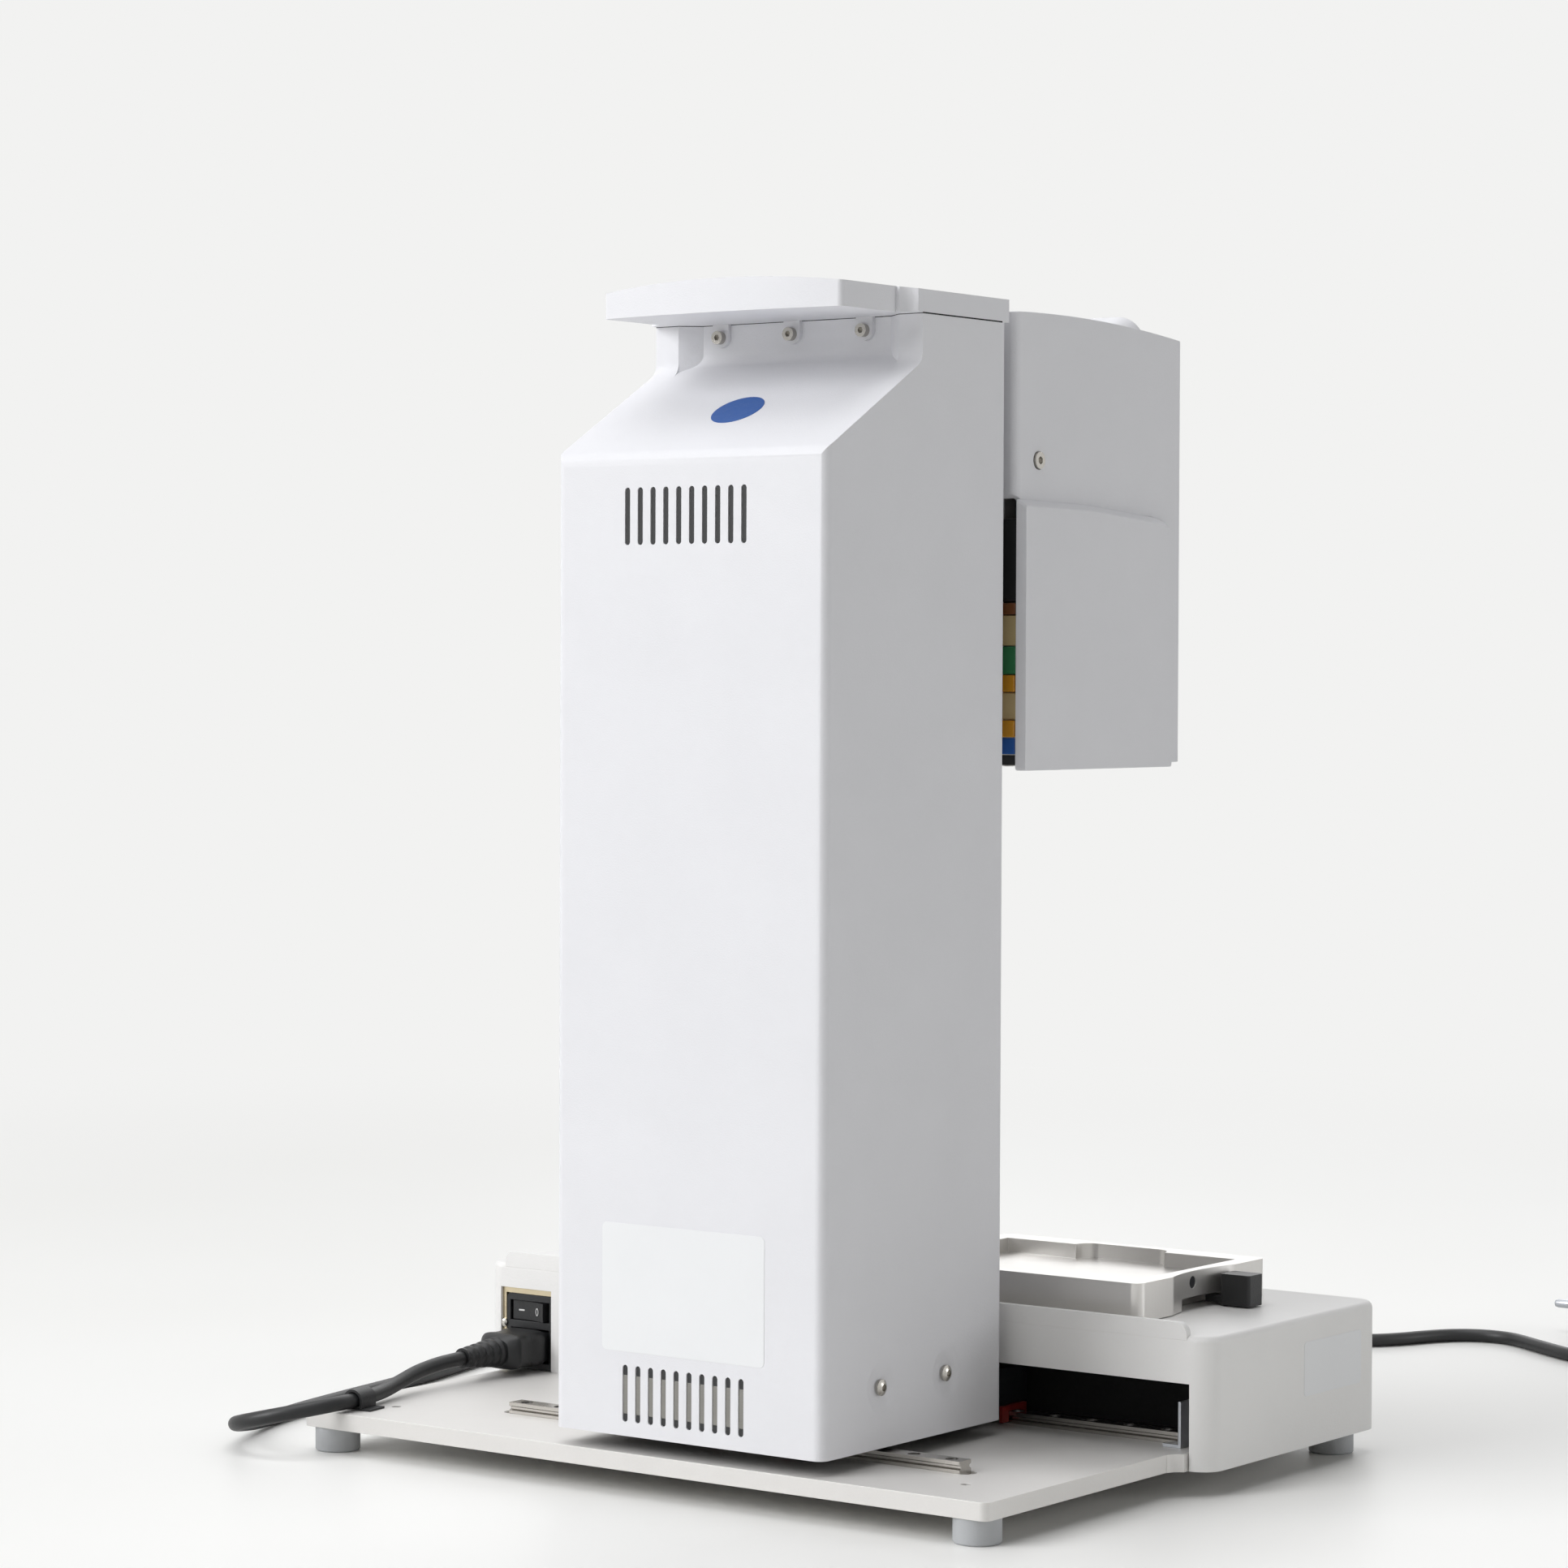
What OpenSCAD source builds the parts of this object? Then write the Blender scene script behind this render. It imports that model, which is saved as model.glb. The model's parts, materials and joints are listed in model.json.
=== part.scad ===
// Bench-top liquid handling robot: a 96-channel pipetting head on a lift tower that slides sideways
// over a base with two plate holders. Millimetres, +Z up, +X to the operator's right, +Y to the rear.
// The origin lies on the bench under the middle of the machine.

/* [Base] */
// Width of the base plate behind the housing
plate_w = 386; // [370:1:400]
// Thickness of the base plate
plate_t = 8; // [6:0.5:12]
// Distance from the origin to the rear edge of the base plate
rear_y = 178; // [170:1:190]
// Diameter of a rubber foot
foot_d = 21; // [18:0.5:24]
// Height of a rubber foot
foot_h = 11.5; // [8:0.5:16]
// Distance of a foot's centre from the edges of the base
foot_inset = 11; // [10.5:0.5:13]

/* [Front housing] */
// Width of the front housing
housing_w = 420; // [410:1:440]
// Depth of the front housing
housing_d = 155; // [150:1:158]
// Distance from the origin to the rear face of the housing
housing_y = 26; // [22:1:28]
// Height of the housing from the underside of the base plate to its deck
housing_h = 60.2; // [58:0.1:66]
// Wall thickness of the housing
housing_wall = 4; // [3:0.5:5]
// Radius of the housing's upright corners
housing_r = 11; // [8:0.5:14]
// Radius of the housing's top edge
housing_top_r = 3; // [1.5:0.5:4]
// Height of the splash rim above the deck
rim_h = 5.8; // [3:0.2:8]
// Thickness of the splash rim
rim_t = 3.6; // [2.5:0.1:5]
// Clear height of the rear slot above the base plate
slot_h = 30.8; // [29:0.1:33]

/* [Rails] */
// Width of a miniature rail
rail_w = 9; // [7:1:12]
// Height of a miniature rail
rail_h = 6.5; // [6:0.5:8]
// Depth of the groove that a floor rail lies in
rail_groove = 1.3; // [0.6:0.1:2]
// Pitch of the rail's screw holes
rail_pitch = 20; // [16:1:25]
// Length of the rear rail
rear_rail_l = 254; // [250:2:262]
// Distance from the origin to the rear rail's axis
rear_rail_y = 124.6; // [118:0.2:128]
// Length of the front rail
front_rail_l = 348; // [342:2:352]
// Distance from the origin to the front rail's axis
front_rail_y = 4; // [2:0.5:6]
// Width of a rail block
block_w = 20; // [18:0.5:22]
// Height from the rail's seat to the top of its block
block_h = 10; // [9.5:0.1:11]
// Length of a rail block without its end seals
block_l = 36; // [32:1:40]

/* [Tower] */
// Distance of the parked tower's centre from the middle of the base
tower_x = -31.5; // [-60:0.5:60]
// Width of the tower
tower_w = 149; // [140:1:156]
// Depth of the tower
tower_d = 140; // [136:1:144]
// Distance from the origin to the tower's front face
tower_front_y = 35; // [34:0.5:38]
// Gap between the base plate and the tower's cover
tower_gap = 7; // [6:0.2:8]
// Height of the tower's cover without its cap
tower_h = 497.6; // [490:0.2:510]
// Height of the cover's upright rear face
tower_back_h = 434.7; // [420:0.1:445]
// Distance that the sloping shoulder runs forward
shoulder_run = 72; // [60:1:78]
// Height that the sloping shoulder rises
shoulder_rise = 41.6; // [36:0.2:46]
// Wall thickness of the tower's cover
cover_wall = 3; // [2.5:0.1:4]
// Radius of the cover's upright edges
cover_r = 5; // [3:0.5:8]
// Depth of the recess in the neck's rear face
neck_recess = 7; // [4:0.5:9]
// Number of ventilation slots in a row
vent_n = 10; // [6:1:12]
// Pitch of the ventilation slots
vent_pitch = 7.15; // [6.5:0.05:7.4]
// Width of a ventilation slot
vent_w = 2.9; // [2:0.1:3.5]
// Height of a ventilation slot
vent_h = 25.4; // [18:0.1:30]
// Thickness of the cap at its sides
cap_h = 10.5; // [8:0.5:14]
// Height of the crown in the middle of the cap
cap_crown = 4.4; // [2:0.2:6]
// Distance that the cap's wing reaches behind the neck
cap_wing = 54; // [44:1:60]

/* [Head] */
// Width of the head's upper cover
head_w = 149; // [146:1:156]
// Gap between the tower's front face and the head
head_gap = 7; // [6.5:0.5:10]
// Depth of the head
head_d = 144.5; // [140:0.5:148]
// Height of the head's lower edge above the bench
head_z = 323.4; // [321:0.2:330]
// Height of the head from its lower edge to the top of its rear face
head_h = 206.4; // [200:0.2:210]
// Drop of the head's top from rear to front
head_top_drop = 4.9; // [2:0.1:6]
// Wall thickness of the head's covers
head_wall = 3; // [2.5:0.1:4]
// Thickness of the lower side covers, which stand proud
side_cover_t = 5.7; // [4:0.1:7]
// Height of the lower side covers
side_cover_h = 120.2; // [110:0.2:126]
// Depth of the lower side covers
side_cover_d = 126.8; // [118:0.2:130]

/* [Channels] */
// Pitch of the pipetting channels
channel_pitch = 9; // [9:0.01:9]
// Number of channels across
channel_cols = 12; // [12:1:12]
// Number of channels front to back
channel_rows = 8; // [8:1:8]
// Radius of a nozzle
nozzle_r = 2.5; // [2:0.1:3]
// Radius of a piston rod
piston_r = 1.3; // [1:0.1:1.5]

/* [Plate holders] */
// Distance of a plate holder's centre from the middle of the base
holder_x = 88; // [86:0.5:92]
// Width of a plate holder
holder_w = 146.3; // [142:0.1:150]
// Depth of a plate holder
holder_d = 113.8; // [108:0.2:116]
// Height of a plate holder
holder_h = 17.6; // [14:0.2:19]
// Length of the plate pocket
pocket_w = 128.4; // [128:0.1:129]
// Depth from front to back of the plate pocket
pocket_d = 86.1; // [85.8:0.1:87]
// Depth of the plate pocket below the rim
pocket_h = 7; // [5:0.5:9]

/* [Console] */
// Width of the control console
console_w = 76; // [70:1:90]
// Height of the console's face along its slope
face_h = 98; // [94:1:104]
// Lean of the console's face from upright
face_lean = 23; // [12:0.5:26]

/* [Hidden] */

$fn = 48;
seat = 0.3;            // gap kept between parts that slide or hang beside each other
fit = 0.05;            // radial clearance of a running fit
eps = 0.01;

// Heights of the base
plate_z = foot_h;
top_z = plate_z + plate_t;
deck_z = plate_z + housing_h;
rail_z = top_z - rail_groove;
block_top_z = rail_z + block_h;
slot_z = top_z + slot_h;
housing_front_y = housing_y - housing_d;

// Heights and depths of the tower
cover_z = top_z + tower_gap;
cover_top_z = cover_z + tower_h;
tower_back_y = tower_front_y + tower_d;
neck_y = tower_back_y - shoulder_run;
shoulder_z = cover_z + tower_back_h;
neck_z = shoulder_z + shoulder_rise;

// Places in the head
head_back_y = tower_front_y - head_gap;
head_front_y = head_back_y - head_d;
head_top_z = head_z + head_h;
holder_y = -49.5;
holder_z = deck_z + 0.4;

// The rear slot of the housing, through which the tower's foot reaches forward
slot_left_x = housing_w / 2 - housing_r;
slot_right_x = housing_w / 2 - 58;

// ---------------------------------------------------------------- shared shapes

// A box that is centred on x and y and stands on z = 0
module block(size) {
    translate([-size[0] / 2, -size[1] / 2, 0]) cube(size);
}

// A flat rectangle with round corners, centred
module round_rect(w, d, r) {
    union() {
        square([w - 2 * r, d], center = true);
        square([w, d - 2 * r], center = true);
        for (x = [-1, 1], y = [-1, 1]) translate([x * (w / 2 - r), y * (d / 2 - r)]) circle(r = r);
    }
}

// A box with round upright edges, standing on z = 0
module round_block(w, d, h, r) {
    linear_extrude(height = h) round_rect(w, d, r);
}

// The arc of radius r that rounds the corner b between its neighbours a and c
function corner_arc(a, b, c, r) =
    let (u = (a - b) / norm(a - b), w = (c - b) / norm(c - b), half = acos(u * w) / 2,
        centre = b + (u + w) / norm(u + w) * r / sin(half), p = b + u * r / tan(half) - centre,
        turn = (180 - 2 * half) * (u[0] * w[1] - u[1] * w[0] < 0 ? 1 : -1))
    r <= 0 ? [b] : [for (k = [0 : 6]) centre + [
        p[0] * cos(turn * k / 6) - p[1] * sin(turn * k / 6),
        p[0] * sin(turn * k / 6) + p[1] * cos(turn * k / 6)]];

// A polygon's points with its corners rounded by the radii given
function rounded(pts, radii) = let (n = len(pts)) [for (i = [0 : n - 1])
    each corner_arc(pts[(i + n - 1) % n], pts[i], pts[(i + 1) % n], radii[i])];

// A profile in Y and Z carried along X, centred on x = 0
module along_x(w) {
    translate([-w / 2, 0, 0]) rotate([90, 0, 90]) linear_extrude(height = w) children();
}

// A cylinder along X that starts at the origin
module x_rod(r, l) {
    rotate([0, 90, 0]) cylinder(r = r, h = l);
}

// A cylinder along Y that starts at the origin and runs to the rear
module y_rod(r, l) {
    rotate([-90, 0, 0]) cylinder(r = r, h = l);
}

// A socket head with its hexagon, standing on z = 0
module socket_head(r, h, key) {
    difference() {
        cylinder(r = r, h = h);
        translate([0, 0, h * 0.4]) cylinder(r = key, h = h, $fn = 6);
    }
}

// ---------------------------------------------------------------- floor rails

// Cross-section of a miniature rail, seat at y = 0
module rail_section() {
    waist = rail_w * 0.36;
    polygon([
        [-rail_w / 2, 0], [rail_w / 2, 0], [rail_w / 2, rail_h * 0.42], [waist, rail_h * 0.52],
        [waist, rail_h * 0.66], [rail_w / 2, rail_h * 0.76], [rail_w / 2, rail_h],
        [-rail_w / 2, rail_h], [-rail_w / 2, rail_h * 0.76], [-waist, rail_h * 0.66],
        [-waist, rail_h * 0.52], [-rail_w / 2, rail_h * 0.42]
    ]);
}

function rail_holes(l) = floor((l - rail_w) / rail_pitch) + 1;
rail_head_r = rail_w * 0.32;
rail_head_h = rail_h * 0.45;

// Places of a rail's screws along its length
module at_rail_holes(l) {
    n = rail_holes(l);
    for (i = [0 : n - 1]) translate([(i - (n - 1) / 2) * rail_pitch, 0, 0]) children();
}

module rail(l) {
    difference() {
        translate([-l / 2, 0, 0]) rotate([90, 0, 90]) linear_extrude(height = l) rail_section();
        at_rail_holes(l) {
            translate([0, 0, -1]) cylinder(r = rail_head_r * 0.6, h = rail_h + 2);
            translate([0, 0, rail_h - rail_head_h]) cylinder(r = rail_head_r, h = rail_h);
        }
    }
}

// The screws of a rail, sunk below its top
module rail_screw_row(l) {
    at_rail_holes(l) {
        translate([0, 0, rail_h - rail_head_h]) difference() {
            cylinder(r = rail_head_r - 0.15, h = rail_head_h * 0.75);
            translate([0, 0, rail_head_h * 0.35]) cylinder(r = rail_head_r * 0.45, h = rail_h, $fn = 6);
        }
        cylinder(r = rail_head_r * 0.6 - 0.1, h = rail_h - rail_head_h);
    }
}

rear_rail_x = tower_x + 12.5;

module at_rear_rail() {
    translate([rear_rail_x, rear_rail_y, rail_z]) children();
}

front_rail_x = -14;

module at_front_rail() {
    translate([front_rail_x, front_rail_y, rail_z]) children();
}

module rear_rail() {
    color("silver") at_rear_rail() rail(rear_rail_l);
}

module front_rail() {
    color("silver") at_front_rail() rail(front_rail_l);
}

module base_screws() {
    color("dimgray") {
        at_rear_rail() rail_screw_row(rear_rail_l);
        at_front_rail() rail_screw_row(front_rail_l);
        at_panel_screws() {
            translate([0, panel_t, 0]) rotate([-90, 0, 0]) cylinder(r1 = 2.5, r2 = 1.6, h = 1.6);
            y_rod(panel_screw_r - 0.1, panel_t);
        }
    }
}

// Angle stops at both ends of the front rail
stop_t = 1.6;
stop_x = front_rail_l / 2 + seat;
stop_w = 24;
stop_h = 21;

module rail_stops() {
    color("lightgray")
    translate([front_rail_x, front_rail_y, top_z]) for (s = [-1, 1]) scale_x(s)
        translate([stop_x, 0, 0]) {
            translate([0, 2 - stop_w / 2, 0]) cube([stop_t, stop_w, stop_h]);
            translate([-8, rail_w / 2 + 2, 0]) cube([9, stop_w / 2 - rail_w / 2, stop_t]);
        }
}

// Mirrors what follows when s is -1
module scale_x(s) {
    if (s < 0) mirror([1, 0, 0]) children();
    else children();
}

// ---------------------------------------------------------------- base plate and feet

plate_front_y = housing_front_y + housing_wall + 0.5;
plate_inner_w = housing_w - 2 * housing_r - 1;
plate_hidden_w = housing_w - 2 * housing_wall - 5;
flare_y = housing_y + 3.6;
flare_r = 9;

module plate_outline() {
    corner = 4;
    difference() {
        union() {
            translate([0, (rear_y + flare_y - corner) / 2])
                round_rect(plate_w, rear_y - flare_y + corner, corner);
            translate([0, (flare_y + plate_front_y) / 2])
                square([plate_inner_w, flare_y - plate_front_y], center = true);
            translate([0, (housing_y - housing_r - 1 + plate_front_y) / 2])
                square([plate_hidden_w, housing_y - housing_r - 1 - plate_front_y], center = true);
            for (s = [-1, 1])
                translate([s * plate_w / 2, flare_y + (plate_inner_w - plate_w) / 4 - eps])
                    square([plate_inner_w - plate_w, (plate_inner_w - plate_w) / 2], center = true);
        }
        for (s = [-1, 1])
            translate([s * (plate_w / 2 + flare_r), flare_y + flare_r - 1]) circle(r = flare_r);
    }
}

// Feet: two under the rear corners, two under the housing
function foot_places() = [
    for (s = [-1, 1]) [s * (plate_w / 2 - foot_inset - 1), rear_y - foot_inset],
    for (s = [-1, 1]) [s * (plate_hidden_w / 2 - foot_inset), plate_front_y + foot_inset]
];

// Mounting holes near the rear edge of the base plate
bench_hole_x = 161.8;
bench_hole_y = 147.4;
bench_hole_r = 2.25;

module base_plate() {
    color("gainsboro") difference() {
        translate([0, 0, plate_z]) linear_extrude(height = plate_t) plate_outline();
        at_rear_rail() linear_extrude(height = plate_t) {
            square([rear_rail_l + 1, rail_w + 0.4], center = true);
            for (s = [-1, 1]) translate([s * (rear_rail_l + 1) / 2, 0]) circle(r = (rail_w + 0.4) / 2);
        }
        at_front_rail() linear_extrude(height = plate_t)
            square([front_rail_l + 0.3, rail_w + 0.4], center = true);
        for (s = [-1, 1])
            translate([s * bench_hole_x, bench_hole_y, plate_z - 1])
                cylinder(r = bench_hole_r, h = plate_t + 2);
    }
}

module feet() {
    color("darkgray") for (p = foot_places()) translate([p[0], p[1], 0]) {
        rotate_extrude() polygon([
            [0, 0], [foot_d / 2 - 0.8, 0], [foot_d / 2, 0.8],
            [foot_d / 2, foot_h], [0, foot_h]
        ]);
    }
}

// ---------------------------------------------------------------- front housing

inlet_x = housing_w / 2 - 27;
inlet_left_x = inlet_x - 15;
inlet_right_x = inlet_x + 22.4;
inlet_top_z = slot_z + 9.3;

// The outer skin: four corner pucks with rounded tops in one hull
module housing_skin() {
    h = deck_z - plate_z;
    hull() for (x = [-1, 1], y = [0, 1])
        translate([
            x * (housing_w / 2 - housing_r),
            housing_front_y + housing_r + y * (housing_d - 2 * housing_r), plate_z
        ]) rotate_extrude($fn = 32) polygon(concat(
            [[0, 0], [housing_r, 0]],
            [for (a = [0 : 30 : 90])
                [housing_r - housing_top_r * (1 - cos(a)), h - housing_top_r * (1 - sin(a))]],
            [[0, h]]
        ));
}

module front_housing() {
    inner_w = housing_w - 2 * housing_wall;
    inner_front = housing_front_y + housing_wall;
    color("white") difference() {
        union() {
            housing_skin();
            translate([0, housing_y, deck_z]) rotate([90, 0, 0]) linear_extrude(height = rim_t) rim_shape();
        }
        // the hollow, closed above by the deck and open below
        translate([-inner_w / 2, inner_front, plate_z - 1])
            cube([inner_w, housing_y - housing_wall - inner_front, deck_z - housing_wall - plate_z + 1]);
        // the slot for the tower's foot
        translate([-slot_left_x, housing_y - housing_wall - 1, plate_z - 1])
            cube([slot_left_x + slot_right_x, housing_wall + 2, slot_z - plate_z + 1]);
        // the notch below the slot's end, for the base plate
        translate([slot_right_x - 1, housing_y - housing_wall - 1, plate_z - 1])
            cube([slot_left_x - slot_right_x + 1, housing_wall + 2, plate_t + 1]);
        // the window of the inlet panel
        translate([inlet_left_x, housing_y - housing_wall - 1, top_z - 1])
            cube([inlet_right_x - inlet_left_x, housing_wall + 2, inlet_top_z - top_z + 1]);
        // the opening of the data socket in the right side
        translate([housing_w / 2 - housing_wall - 1, usb_y - usb_w / 2, usb_z - usb_h / 2])
            cube([housing_wall + 2, usb_w, usb_h]);
    }
    // bosses that stand on the base plate
    color("white") for (s = [-1, 1], y = [inner_front + boss_r + 3, boss_rear_y])
        translate([s * boss_x, y, top_z]) difference() {
            cylinder(r = boss_r, h = deck_z - housing_wall - top_z + 1);
            translate([0, 0, -1]) cylinder(r = 1.6, h = 14);
        }
}

boss_r = 5;
boss_x = housing_w / 2 - housing_wall - 12;
boss_rear_y = -18;

// The splash rim seen from behind, with round upper corners
module rim_shape() {
    w = plate_inner_w - 2;
    r = rim_h - 0.5;
    translate([-w / 2, -2]) square([w, 2.5]);
    translate([-w / 2 + r, 0]) square([w - 2 * r, rim_h]);
    for (s = [-1, 1]) translate([s * (w / 2 - r), 0.5]) intersection() {
        circle(r = r);
        translate([-r, 0]) square([2 * r, r]);
    }
}

// ---------------------------------------------------------------- mains inlet and electronics

panel_t = 1.5;
panel_y = housing_y - housing_wall - panel_t;
inlet_w = 29.4;
inlet_h = 36.8;
inlet_z = top_z - 0.3 + 0.5;
inlet_proud = 2.2;
socket_w = 24.4;
socket_h = 16.8;
socket_z = inlet_z + 11.6;
rocker_z = inlet_z + 28.6;
rocker_w = 25;
rocker_h = 10;
rocker_l = 21.5;
panel_w = 50;
panel_h = inlet_top_z - top_z + 3;

module inlet_panel() {
    color("tan") difference() {
        translate([inlet_x - 8, panel_y + panel_t / 2, top_z]) block([panel_w, panel_t, panel_h]);
        translate([inlet_x, panel_y + panel_t / 2, inlet_z + 2])
            block([inlet_w - 4, panel_t + 2, inlet_h - 4]);
        at_panel_screws() translate([0, -1, 0]) y_rod(panel_screw_r, panel_t + 2);
    }
}

panel_screw_r = 1.3;

// Place of the screw beside the inlet
module at_panel_screws() {
    translate([inlet_x + 17.4, panel_y, rocker_z - 8]) children();
}

// The inlet's moulded body: rocker recess above, three-pin socket below
module mains_inlet() {
    front = housing_y - housing_wall + inlet_proud;
    body_back = panel_y - 22;
    color([0.12, 0.12, 0.15]) difference() {
        union() {
            translate([inlet_x, housing_y - housing_wall, inlet_z + inlet_h / 2])
                rotate([-90, 0, 0]) round_block(inlet_w, inlet_h, inlet_proud, 2.5);
            translate([inlet_x, (body_back + housing_y - housing_wall) / 2, inlet_z + 2.2])
                block([inlet_w - 4.4, housing_y - housing_wall - body_back, inlet_h - 4.4]);
        }
        translate([inlet_x, front - 15 / 2 + 1, socket_z - socket_h / 2])
            block([socket_w, 15, socket_h]);
        translate([inlet_x, front - 6 / 2 + 1, rocker_z - rocker_h / 2])
            block([rocker_w, 6, rocker_h]);
        translate([inlet_x, front - 6, rocker_z - rocker_h / 2]) block([rocker_w - 2, 9, rocker_h]);
        translate([inlet_x, rocker_axis_y, rocker_z - rocker_h / 2 - 1.6])
            cylinder(r = rocker_pin_r + fit, h = rocker_h + 3.2);
    }
    color("silver") at_inlet_pins() translate([0, 4, -2]) block([2, 10, 4]);
}

// Places of the inlet's three pins, at the bottom of the socket
module at_inlet_pins() {
    for (p = [[-7, 1.6], [7, 1.6], [0, -2.4]])
        translate([inlet_x + p[0], housing_y - housing_wall + inlet_proud - 14, socket_z + p[1]]) children();
}

// The rocker turns about an upright pin; the side that switches on is pressed at rest
rocker_axis_y = housing_y - housing_wall + inlet_proud - 6;
rocker_pin_r = 1.2;
rocker_tilt = 8;

module mains_rocker() {
    color([0.1, 0.1, 0.1]) translate([inlet_x, rocker_axis_y, rocker_z]) {
        rotate([0, 0, -rocker_tilt]) translate([0, 0, -rocker_h / 2 + 0.4])
            linear_extrude(height = rocker_h - 0.8) polygon([
                [-rocker_l / 2, 0.5], [-rocker_l / 2, 6.4], [-rocker_l / 4, 5.2], [0, 4.8],
                [rocker_l / 4, 5.2], [rocker_l / 2, 6.4], [rocker_l / 2, 0.5], [0, -3]
            ]);
        translate([0, 0, -rocker_h / 2 - 1.4]) cylinder(r = rocker_pin_r, h = rocker_h + 2.8);
    }
}

supply_w = 130;
supply_d = 84;
supply_h = 38;
supply_x = boss_x - supply_w / 2 - 8;
inside_y = -70;

module power_supply() {
    color("silver") translate([supply_x, inside_y, top_z]) {
        difference() {
            block([supply_w, supply_d, supply_h]);
            translate([0, 0, 2]) block([supply_w - 4, supply_d - 4, supply_h]);
        }
        translate([0, 0, 2]) block([supply_w - 20, supply_d - 18, supply_h - 16]);
    }
}

board_w = 190;
board_d = 76;
board_t = 1.6;
board_lift = 6;

module main_board() {
    color("darkgreen") translate([supply_x - (supply_w + board_w) / 2 - 36, inside_y - 2, top_z]) {
        translate([0, 0, board_lift]) block([board_w, board_d, board_t]);
        for (x = [-1, 1], y = [-1, 1])
            translate([x * (board_w / 2 - 7), y * (board_d / 2 - 6), 0]) cylinder(r = 2.5, h = board_lift);
        for (x = [-0.32, 0, 0.29]) translate([x * board_w, 8, board_lift + board_t]) block([22, 18, 9]);
    }
}

usb_y = -52;
usb_z = 42;
usb_w = 12;
usb_h = 11;

// The data socket: a nose in the housing's opening and a shoulder behind the wall
module usb_port() {
    wall_x = housing_w / 2 - housing_wall;
    color("silver") difference() {
        union() {
            translate([wall_x - 12, usb_y - usb_w / 2 - 2, usb_z - usb_h / 2 - 2])
                cube([12, usb_w + 4, usb_h + 4]);
            translate([wall_x - 1, usb_y - usb_w / 2 + seat, usb_z - usb_h / 2 + seat])
                cube([housing_wall + 0.5, usb_w - 2 * seat, usb_h - 2 * seat]);
        }
        difference() {
            translate([wall_x - 8, usb_y - 4.6, usb_z - 4.1]) cube([14, 9.2, 8.2]);
            translate([wall_x - 9, usb_y - 2.8, usb_z - 4.2]) cube([8, 5.6, 2.6]);
        }
    }
}

// ---------------------------------------------------------------- cable clip and mains lead

cord_d = 7;
clip_x = 171.9;
clip_y = 162;
clip_l = 12;
clip_turn = 8;

// A folded strip that holds the lead down on the plate's rear corner
module cable_clip() {
    r = cord_d / 2 + 0.5;
    z = cord_d / 2 + 1;
    color("black") translate([clip_x, clip_y, top_z]) rotate([0, 0, clip_turn]) difference() {
        union() {
            translate([0, clip_l / 2, z]) rotate([90, 0, 0]) cylinder(r = r + 1.2, h = clip_l);
            translate([-r - 1.2, -clip_l / 2, 0]) cube([2 * r + 2.4, clip_l, z]);
            translate([-r - 6, -clip_l / 2, 0]) cube([2 * r + 12, clip_l, 1]);
        }
        translate([0, clip_l, z]) rotate([90, 0, 0]) cylinder(r = r, h = 2 * clip_l);
        translate([-r - 8, -clip_l, -2]) cube([2 * r + 16, 2 * clip_l, 2]);
        translate([-r, -clip_l, 1]) cube([2 * r, 2 * clip_l, z - 1]);
    }
}

// ---------------------------------------------------------------- plate holders

// The shallow waist in both short sides of a holder
waist_in = 4;
waist_l = 62;

module holder_outline() {
    difference() {
        round_rect(holder_w, holder_d, 5);
        for (s = [-1, 1]) translate([s * (holder_w / 2 + 100 - waist_in), 0]) {
            intersection() {
                circle(r = 100, $fn = 180);
                square([2 * waist_in + 200, waist_l], center = true);
            }
        }
    }
}

clip_notch = 6.4;
clip_sink = 1.6;
finger_w = 50;
finger_d = 8;

// The machined body with its plate pocket, finger recesses and clip notch
module holder_body() {
    difference() {
        linear_extrude(height = holder_h) holder_outline();
        translate([0, 0, holder_h - pocket_h]) block([pocket_w, pocket_d, pocket_h + 1]);
        translate([0, 0, holder_h - pocket_h]) round_block(finger_w, pocket_d + 2 * finger_d, pocket_h + 1, 7.9);
        translate([pocket_w / 2 - 6, (pocket_d + clip_notch) / 2 - 0.1, holder_h - pocket_h - clip_sink])
            block([14, clip_notch + 0.2, pocket_h + clip_sink + 1]);
    }
}

// The sprung clip in the pocket's rear right notch
module holder_clip() {
    translate([pocket_w / 2 - 6, pocket_d / 2 + 3.4, holder_h - pocket_h - clip_sink]) {
        block([12, 5, clip_sink - 0.3]);
        translate([0, 1.5, 0]) block([11, 1.2, pocket_h + clip_sink - 0.6]);
        translate([0, 0.3, pocket_h + clip_sink - 1.8]) block([11, 3.6, 1.2]);
    }
}

module at_holder_a() {
    translate([-holder_x, holder_y, holder_z]) children();
}

module at_holder_b() {
    translate([holder_x, holder_y, deck_z]) children();
}

module plate_holder_a() {
    color("lightgray") at_holder_a() difference() {
        holder_body();
        // the slot of the selector knob's tongue
        translate([-holder_w / 2 - 1, knob_v - tongue_l / 2 - 1.5, -1])
            cube([15, tongue_l + knob_travel + 5, tongue_h + 3.4]);
        // two grooves that run on the shift guides
        for (s = [-1, 1]) translate([0, s * guide_v, -1])
            block([guide_l + 2 * shift_travel + 2, guide_w + 2 * seat, guide_h + 1 + seat]);
        translate([-holder_w / 2 - 1, 4, dowel_z]) x_rod(dowel_r, dowel_l + 1);
    }
}

shift_travel = 4.5;
guide_v = 34;
guide_l = 70;
guide_w = 8;
guide_h = 4.5;
dowel_z = 12.3;
dowel_r = 2.9;
dowel_l = 8;

module dowel_pin() {
    color("gray") at_holder_a() translate([-holder_w / 2 + waist_in + 0.4, 4, dowel_z])
        x_rod(dowel_r, dowel_l - waist_in - 0.4);
}

module plate_holder_b() {
    color("lightgray") at_holder_b() holder_body();
}

module holder_a_clip() {
    color("dimgray") at_holder_a() holder_clip();
}

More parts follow.
